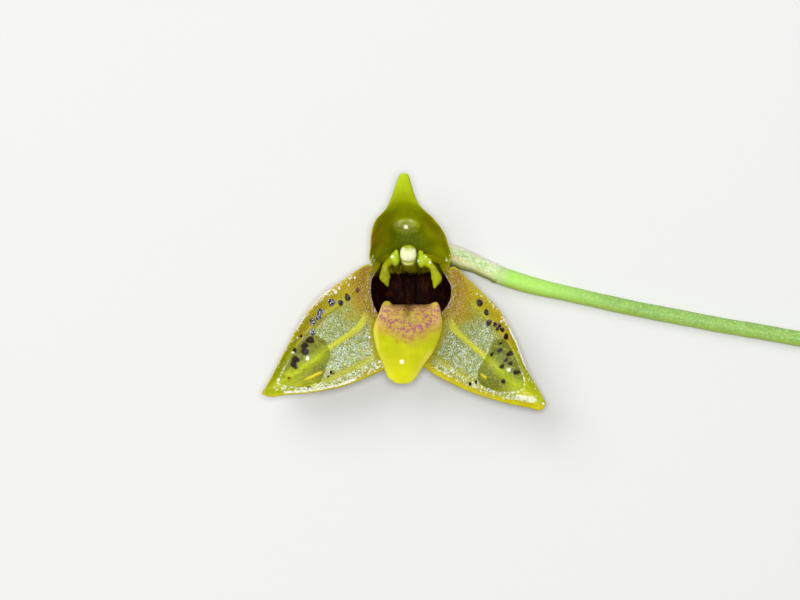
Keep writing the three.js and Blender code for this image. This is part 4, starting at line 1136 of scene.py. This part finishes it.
def lip():
    u, v, w, bare, facing, ears = lip_face(LIP_COLUMNS)
    x, y, z = np.moveaxis(bare, -1, 0)
    edge = np.minimum(v, 1 - v) * w
    end = (1 - u) * 2.0
    rolled_in = np.maximum(sink(edge, np.minimum(LIP_ROLL, 0.25 * w) + 1e-9), sink(end, LIP_ROLL))
    wander = mottle(x, y, 0.5, 51) - 0.5
    upper = rise(-4.6, -3.8, y + 0.6 * wander - 0.17 * x**2)
    dome, mark = crowd(x, y - z, 0.085, 52)
    lumps = 0.05 * (mottle(x, y, 0.8, 53) - 0.5) + 0.03 * (mottle(x, y, 0.3, 54) - 0.5) * upper
    height = (0.012 * dome * upper + lumps) * rise(0, 0.25, edge) * rise(0, 0.2, end)
    front = bare + grid_normals(bare) * height[..., None] - facing * rolled_in[..., None]
    tip_rim = rise(0.9, 0.2, edge) * rise(-4.4, -5.2, y + 0.3 * wander)
    tip_rim = tip_rim * (0.35 + 0.65 * rise(0.0, 1.0, x))
    left_rim = rise(0.5, 0.15, edge) * rise(0.0, -1.0, x) * band(-4.8, -2.6, y, 0.4)
    claw = fall(0.1, 0.24, u)
    fields = dict(
        mark=mark, upper=upper, claw=claw,
        spots=0.85 * lip_spots(x, y, z, wander),
        # glint: a painted highlight, a white dot on the smooth lower lip
        glint=rise(0.1, 0.45, spot(x, y, -0.65, -5.73, 0.145)),
        pale=0.8 * np.maximum(tip_rim, left_rim),
        rosy=upper * fall(0.3, 1.2, edge + 0.5 * wander) * rise(-3.1, -2.5, y),
        centre=upper * spot(x, y, -0.05, -2.15, 0.5),
        orange=0.7 * rise(0.3, 1.0, sum(spot(x, y, *blot) for blot in ORANGE)),
        notch=bell(x + 0.12 + 0.3 * wander, 0.3) * rise(-2.3, -1.5, y + 0.8 * wander),
        ear=rise(0.3, 0.7, ears) * rise(-1.9, -1.5, y),
        margin=fall(0.04, 0.16, edge) * rise(0.3, 0.42, u))
    mesh = blade(front, lip_back(front), fields, dict(back=1.0, claw=claw))
    return piece("lip_blade", mesh, lip_look(), "lip_tissue", "lip")


# ---- Column, anther cap and petals ----
def limb(stations, across, round_end, sides=36, steps=70):
    s = np.linspace(0, 1, steps)
    t = s + 0.8 * (0.5 - 0.5 * np.cos(np.pi * s) - s)
    at = spline(stations, t, run_on=False)
    middle = at[:, :3]
    length = np.linalg.norm(np.diff(middle, axis=0), axis=1).sum()
    tangent = unit(np.gradient(middle, axis=0))
    wide = unit(np.array(across) - (tangent @ np.array(across))[:, None] * tangent)
    thick = np.cross(tangent, wide)
    to_end = np.minimum(t, 1 - t) * length
    ease = np.sqrt(np.clip(1 - np.clip(1 - to_end / round_end, 0, 1) ** 2, 0.0004, 1))
    angle = 2 * np.pi * np.arange(sides) / sides
    half_width, half_thickness = (at[:, 3] * ease)[:, None], (at[:, 4] * ease)[:, None]
    return rings_round(middle, wide, thick, np.cos(angle) * half_width, np.sin(angle) * half_thickness)


def ball(at, radii, sides=48, rows=36):
    angle = 2 * np.pi * np.arange(sides) / sides
    dip = np.linspace(-0.5, 0.5, rows)[:, None] * np.pi * 0.998
    x, y, z = np.broadcast_arrays(np.cos(angle) * np.cos(dip), np.sin(angle) * np.cos(dip), np.sin(dip))
    return np.array(at) + np.array(radii) * np.stack([x, y, z], -1)


def fused(shapes, voxel, smooth):
    """The skin round several overlapping shapes, each given as rings of points."""
    points, faces = np.zeros((0, 3)), []
    for rings in shapes:
        faces += [[len(points) + i for i in face] for face in tube(rings)[1]]
        points = np.concatenate([points, rings.reshape(-1, 3)])
    made = bpy.data.objects.new("shapes", blender_mesh("shapes", points, faces, {}, 1.0))
    bpy.context.scene.collection.objects.link(made)
    remesh = made.modifiers.new("skin", "REMESH")
    remesh.mode = "VOXEL"
    remesh.voxel_size = voxel
    blur = made.modifiers.new("blur", "SMOOTH")
    blur.iterations = smooth
    skin = bpy.data.meshes.new_from_object(made.evaluated_get(bpy.context.evaluated_depsgraph_get()))
    points = np.array([v.co for v in skin.vertices])
    normals = np.array([v.normal for v in skin.vertices])
    faces = [list(face.vertices) for face in skin.polygons]
    bpy.data.objects.remove(made)
    return points, normals, faces


def column():
    shapes = [limb(COLUMN_BODY, (1, 0, 0), 0.3), limb(COLUMN_FOOT, (1, 0, 0), 0.15)]
    points, normals, faces = fused(shapes, 0.045, 6)
    x, y, z = points.T
    fields = dict(deep=fall(1.25, 1.55, y + 0.4 * (mottle(x, z, 0.3, 62) - 0.5)),
                  pale=np.exp(-(((x + 0.14) / 0.42) ** 4)) * rise(1.85, 2.05, y) * rise(3.7, 4.1, z))
    return piece("column_skin", (points, faces, fields), column_look(), "column_tissue", "column")


def petal(name, node, stations, bosses, beads, look):
    shapes = [limb(stations, (1, 0.15, 0), 0.2)] + [ball(*boss) for boss in bosses]
    points, normals, faces = fused(shapes, 0.035, 4)
    x, y, z = points.T
    away = np.min([np.linalg.norm((points - boss[0]) / boss[1], axis=1) for boss in bosses], axis=0)
    boss = fall(1.0, 1.5, away)
    dome, _ = crowd(x + 0.3 * z, y - 0.7 * z, 0.2, 61)
    points = points + normals * ((0.045 * boss + 0.006) * dome)[:, None]
    # glint: painted highlights, white dots where the petals catch the light
    fields = dict(boss=boss, deep=fall(3.5, 4.15, z), glint=dots_at(beads, x, y))
    return piece(name, (points, faces, fields), look, "petal_tissue", node)


def anther_cap():
    at, radii = np.array(CAP)
    rings = ball([0, 0, 0], [1, 1, 1], 96, 72)
    box = np.sign(rings) * np.abs(rings) ** np.array([0.82, 0.86, 1.0])
    x, y, z = np.moveaxis(box, -1, 0)
    top = rise(0.0, 0.5, z)
    middle = bell(x, 0.1) * rise(-1.0, -0.6, y)
    sides = bell(np.abs(x) - 0.55, 0.1)
    box[..., 2] -= (0.10 * middle + 0.05 * sides) * top
    points = at + radii * box
    points[..., 2] += 0.012 * crowd(points[..., 0], points[..., 1], 0.11, 71)[0] * top
    green = rise(0.05, 0.65, y - 0.3 * np.abs(x) + 0.3 * (mottle(x, y, 0.3, 72) - 0.5))
    mesh = tube(points, green=green, furrow=0.35 * middle * top + 0.6 * fall(-0.9, -0.7, y))
    return piece("cap_skin", mesh, cap_look(), "anther_tissue", "anther_cap")


# ---- Ovary and stem ----
def rod(line, t, sides, radius):
    """Rings round a curve at shares t of its length, their angles and the radius at t and angle."""
    middle = even_spline(line)(t)
    tangent = unit(np.gradient(middle, t, axis=0))
    aside = unit(np.cross([0, 0, 1], tangent))
    above = np.cross(tangent, aside)
    angle = 2 * np.pi * np.arange(sides) / sides
    r = radius(t[:, None], angle[None, :])
    return rings_round(middle, aside, above, np.cos(angle) * r, np.sin(angle) * r), angle[None, :]


def ovary():
    t = np.linspace(0, 1, OVARY_RINGS)

    def radius(t, angle):
        rib = 0.025 * np.cos(OVARY_RIBS * angle + 2.0 * t) * fall(0.8, 0.97, t)
        skin = 0.012 * (crowd(t * 60, angle * 6, 1.0, 81)[0] - 0.5)
        swell = 0.05 * (mottle(t * 7, angle * 1.2, 1.0, 82) - 0.5) * fall(0.85, 1, t)
        ledge = 0.07 * bell(t - 0.965, 0.02) * rise(0.2, 0.9, -np.cos(angle))
        belly = 0.34 * band(0.26, 0.68, t, 0.1) * rise(-0.2, 1.0, -np.cos(angle))
        return OVARY_RADIUS * (0.8 + 0.2 * rise(0, 0.35, t)) * (1 + rib + skin + swell + ledge + belly)

    rings, angle = rod(OVARY_LINE, t, OVARY_SIDES, radius)
    t = t[:, None]
    across = np.cos(angle)  # 1 along the side towards the dorsal sepal
    drift = 0.35 * (mottle(t * 12, angle, 1.0, 83) - 0.5)
    # rosy: the ovary's own pinkish white, brightened as a painted highlight along its top edge.
    mesh = tube(rings, rosy=0.8 * rise(0.5, 0.95, across + drift),
                blush=band(-0.5, -0.22, across + 0.3 * drift, 0.12) * band(0.34, 0.58, t, 0.08),
                lemon=fall(-0.6, -0.15, across + drift),
                # under: painted shade along the underside
                under=0.9 * fall(-1.0, -0.42, across - 0.2 * rise(0.6, 0.3, t)),
                green=0.75 * rise(0.86, 1.04, t + 0.25 * drift))
    return piece("ovary_skin", mesh, ovary_look(), "ovary_tissue", "ovary")


def stem():
    t = np.concatenate([np.linspace(0, 0.999, STEM_RINGS), [0.9995, 1.0]])

    def radius(t, angle):
        bumps = 0.022 * (crowd(t * 230, angle * 4.4, 1.0, 91)[0] - 0.4)
        sway = 0.03 * (mottle(t * 30, angle * 0 + 3, 1.0, 92) - 0.5) * rise(0, 0.05, t)
        end = 1 - 0.06 * rise(0.9992, 1.0, t) - 0.05 * fall(0, 0.004, t)
        taper = OVARY_RADIUS + (STEM_RADIUS - OVARY_RADIUS) * rise(0.02, 0.24, t)
        return taper * (1 + bumps + sway) * end

    first, second = np.array(STEM_LINE[:2])
    joint = first - STEM_OVERLAP * unit(second - first)
    rings, angle = rod([joint.tolist(), *STEM_LINE], t, STEM_SIDES, radius)
    rings[..., 2] = np.maximum(rings[..., 2], 0.0)
    last = rings[-1]
    shares = np.array([0.92, 0.75, 0.5, 0.25, 0.06])
    face = last.mean(0) + (last - last.mean(0)) * shares[:, None, None]
    t = t[:, None]
    across = np.cos(angle)
    drift = 0.4 * (mottle(t * 60, angle * 1.5, 1.0, 93) - 0.5)

    def with_cut(values, at_cut=0.0):
        values = np.broadcast_to(values, rings.shape[:2])
        return np.concatenate([values, np.full((len(shares), values.shape[1]), at_cut)])

    mesh = tube(np.concatenate([rings, face]), cut=with_cut(0.0, 1.0),
                core=np.concatenate([np.ones(len(t)), shares])[:, None],
                fresh=with_cut(fall(0.05, 0.4, t)),
                lemon=with_cut(0.6 * fall(-0.9, -0.35, across + drift)),
                rosy=with_cut(0.8 * fall(0.0, 0.035, t + 0.03 * drift)))
    return piece("stem_skin", mesh, stem_look(), "stem_tissue", "stem")


# ---- The flower ----
sepal_skin = lateral_look()
petal_skin = petal_look()
water = water_look()

left_blade = lateral_sepal(
    "left_blade", "lateral_sepal_left",
    sepal_face(RIM_BOTTOM, len(RIM), LEFT_LOWER, LEFT_UPPER, LEFT_TIP, 1),
    mirrored=True, warts=LEFT_WARTS, beads=LEFT_BEADS, drop=LEFT_DROP, bright_end=LEFT_BRIGHT,
    streak=LEFT_CAUSTIC, glitter=LEFT_GLITTER, lower_margin=0.28,
    shine=lambda x, y: (0.15 + 0.85 * rise(-5.7, -6.1, x)) * rise(-3.65, -3.35, y),
    look=sepal_skin, seed=11)
right_blade = lateral_sepal(
    "right_blade", "lateral_sepal_right",
    sepal_face(RIGHT_NOTCH, RIM_BOTTOM, RIGHT_UPPER, RIGHT_LOWER, RIGHT_TIP, 1),
    mirrored=False, warts=RIGHT_WARTS, beads=RIGHT_BEADS, drop=RIGHT_DROP, bright_end=RIGHT_BRIGHT,
    streak=RIGHT_CAUSTIC, glitter=RIGHT_GLITTER, lower_margin=0.8,
    shine=lambda x, y: 0.15 * rise(-3.4, -2.9, y),
    look=sepal_skin, seed=21)
hood = dorsal_sepal()
sepal_cup()
lip()
column()
anther_cap()
petal("left_petal", "petal_left", PETAL_LEFT, BOSSES_LEFT, [[-1.4, 2.66, 0.1]], petal_skin)
petal("right_petal", "petal_right", PETAL_RIGHT, BOSSES_RIGHT,
      [[0.66, 2.32, 0.1], [1.6, 2.21, 0.1], [1.26, 2.66, 0.05]], petal_skin)
ovary()
stem()
water_drop("drop_left", LEFT_DROP, left_blade, 0.9, LEFT_CREST, 2.4, (0.0, 1.2), water)
water_drop("drop_right", RIGHT_DROP, right_blade, 1.15, RIGHT_CREST, 2.6, (0.4, 2.0), water)
water_drop("drop_hood", HOOD_DROP, hood, 0.38, HOOD_CREST, 2.6, (0.3, 1.3), water)

# ---- Table, lights and camera ----
VIEW_X, VIEW_Y = -0.8, -0.8  # the camera looks straight down at this point
VIEW_HEIGHT = 454.6
VIEW_LENS = 253.125  # focal length

bpy.ops.mesh.primitive_plane_add(size=3.0, location=(0, 0, -0.02 * MM))
table = bpy.context.object
table.name = "table_top"
table.data.materials.append(table_look())


def soft_light(name, place, size, power):
    """A round light that faces the flower. Its place and diameter are in metres."""
    data = bpy.data.lights.new(name, "AREA")
    data.shape = "DISK"
    data.size = size
    data.energy = power
    made = bpy.data.objects.new(name, data)
    made.location = place
    made.rotation_euler = (Vector((0, 0, 0.004)) - Vector(place)).to_track_quat("-Z", "Y").to_euler()
    bpy.context.scene.collection.objects.link(made)
    return made


soft_light("flash", (0.002, 0.01, 0.6), 0.14, 2.4)
key = soft_light("key", (-0.3, 0.3, 0.5), 0.5, 2.1)
key.visible_glossy = False

world = bpy.data.worlds.new("studio")
world.use_nodes = True
sky = world.node_tree.nodes["Background"]
sky.inputs["Color"].default_value = (1, 1, 1, 1)
sky.inputs["Strength"].default_value = 0.25
bpy.context.scene.world = world
bpy.context.scene.view_settings.view_transform = "Standard"

camera = bpy.data.objects.new("camera", bpy.data.cameras.new("camera"))
camera.location = (VIEW_X * MM, VIEW_Y * MM, VIEW_HEIGHT * MM)
camera.data.sensor_width = 36.0
camera.data.lens = VIEW_LENS
camera.data.clip_start = 0.01
camera.data.clip_end = 10.0
bpy.context.scene.collection.objects.link(camera)
bpy.context.scene.camera = camera
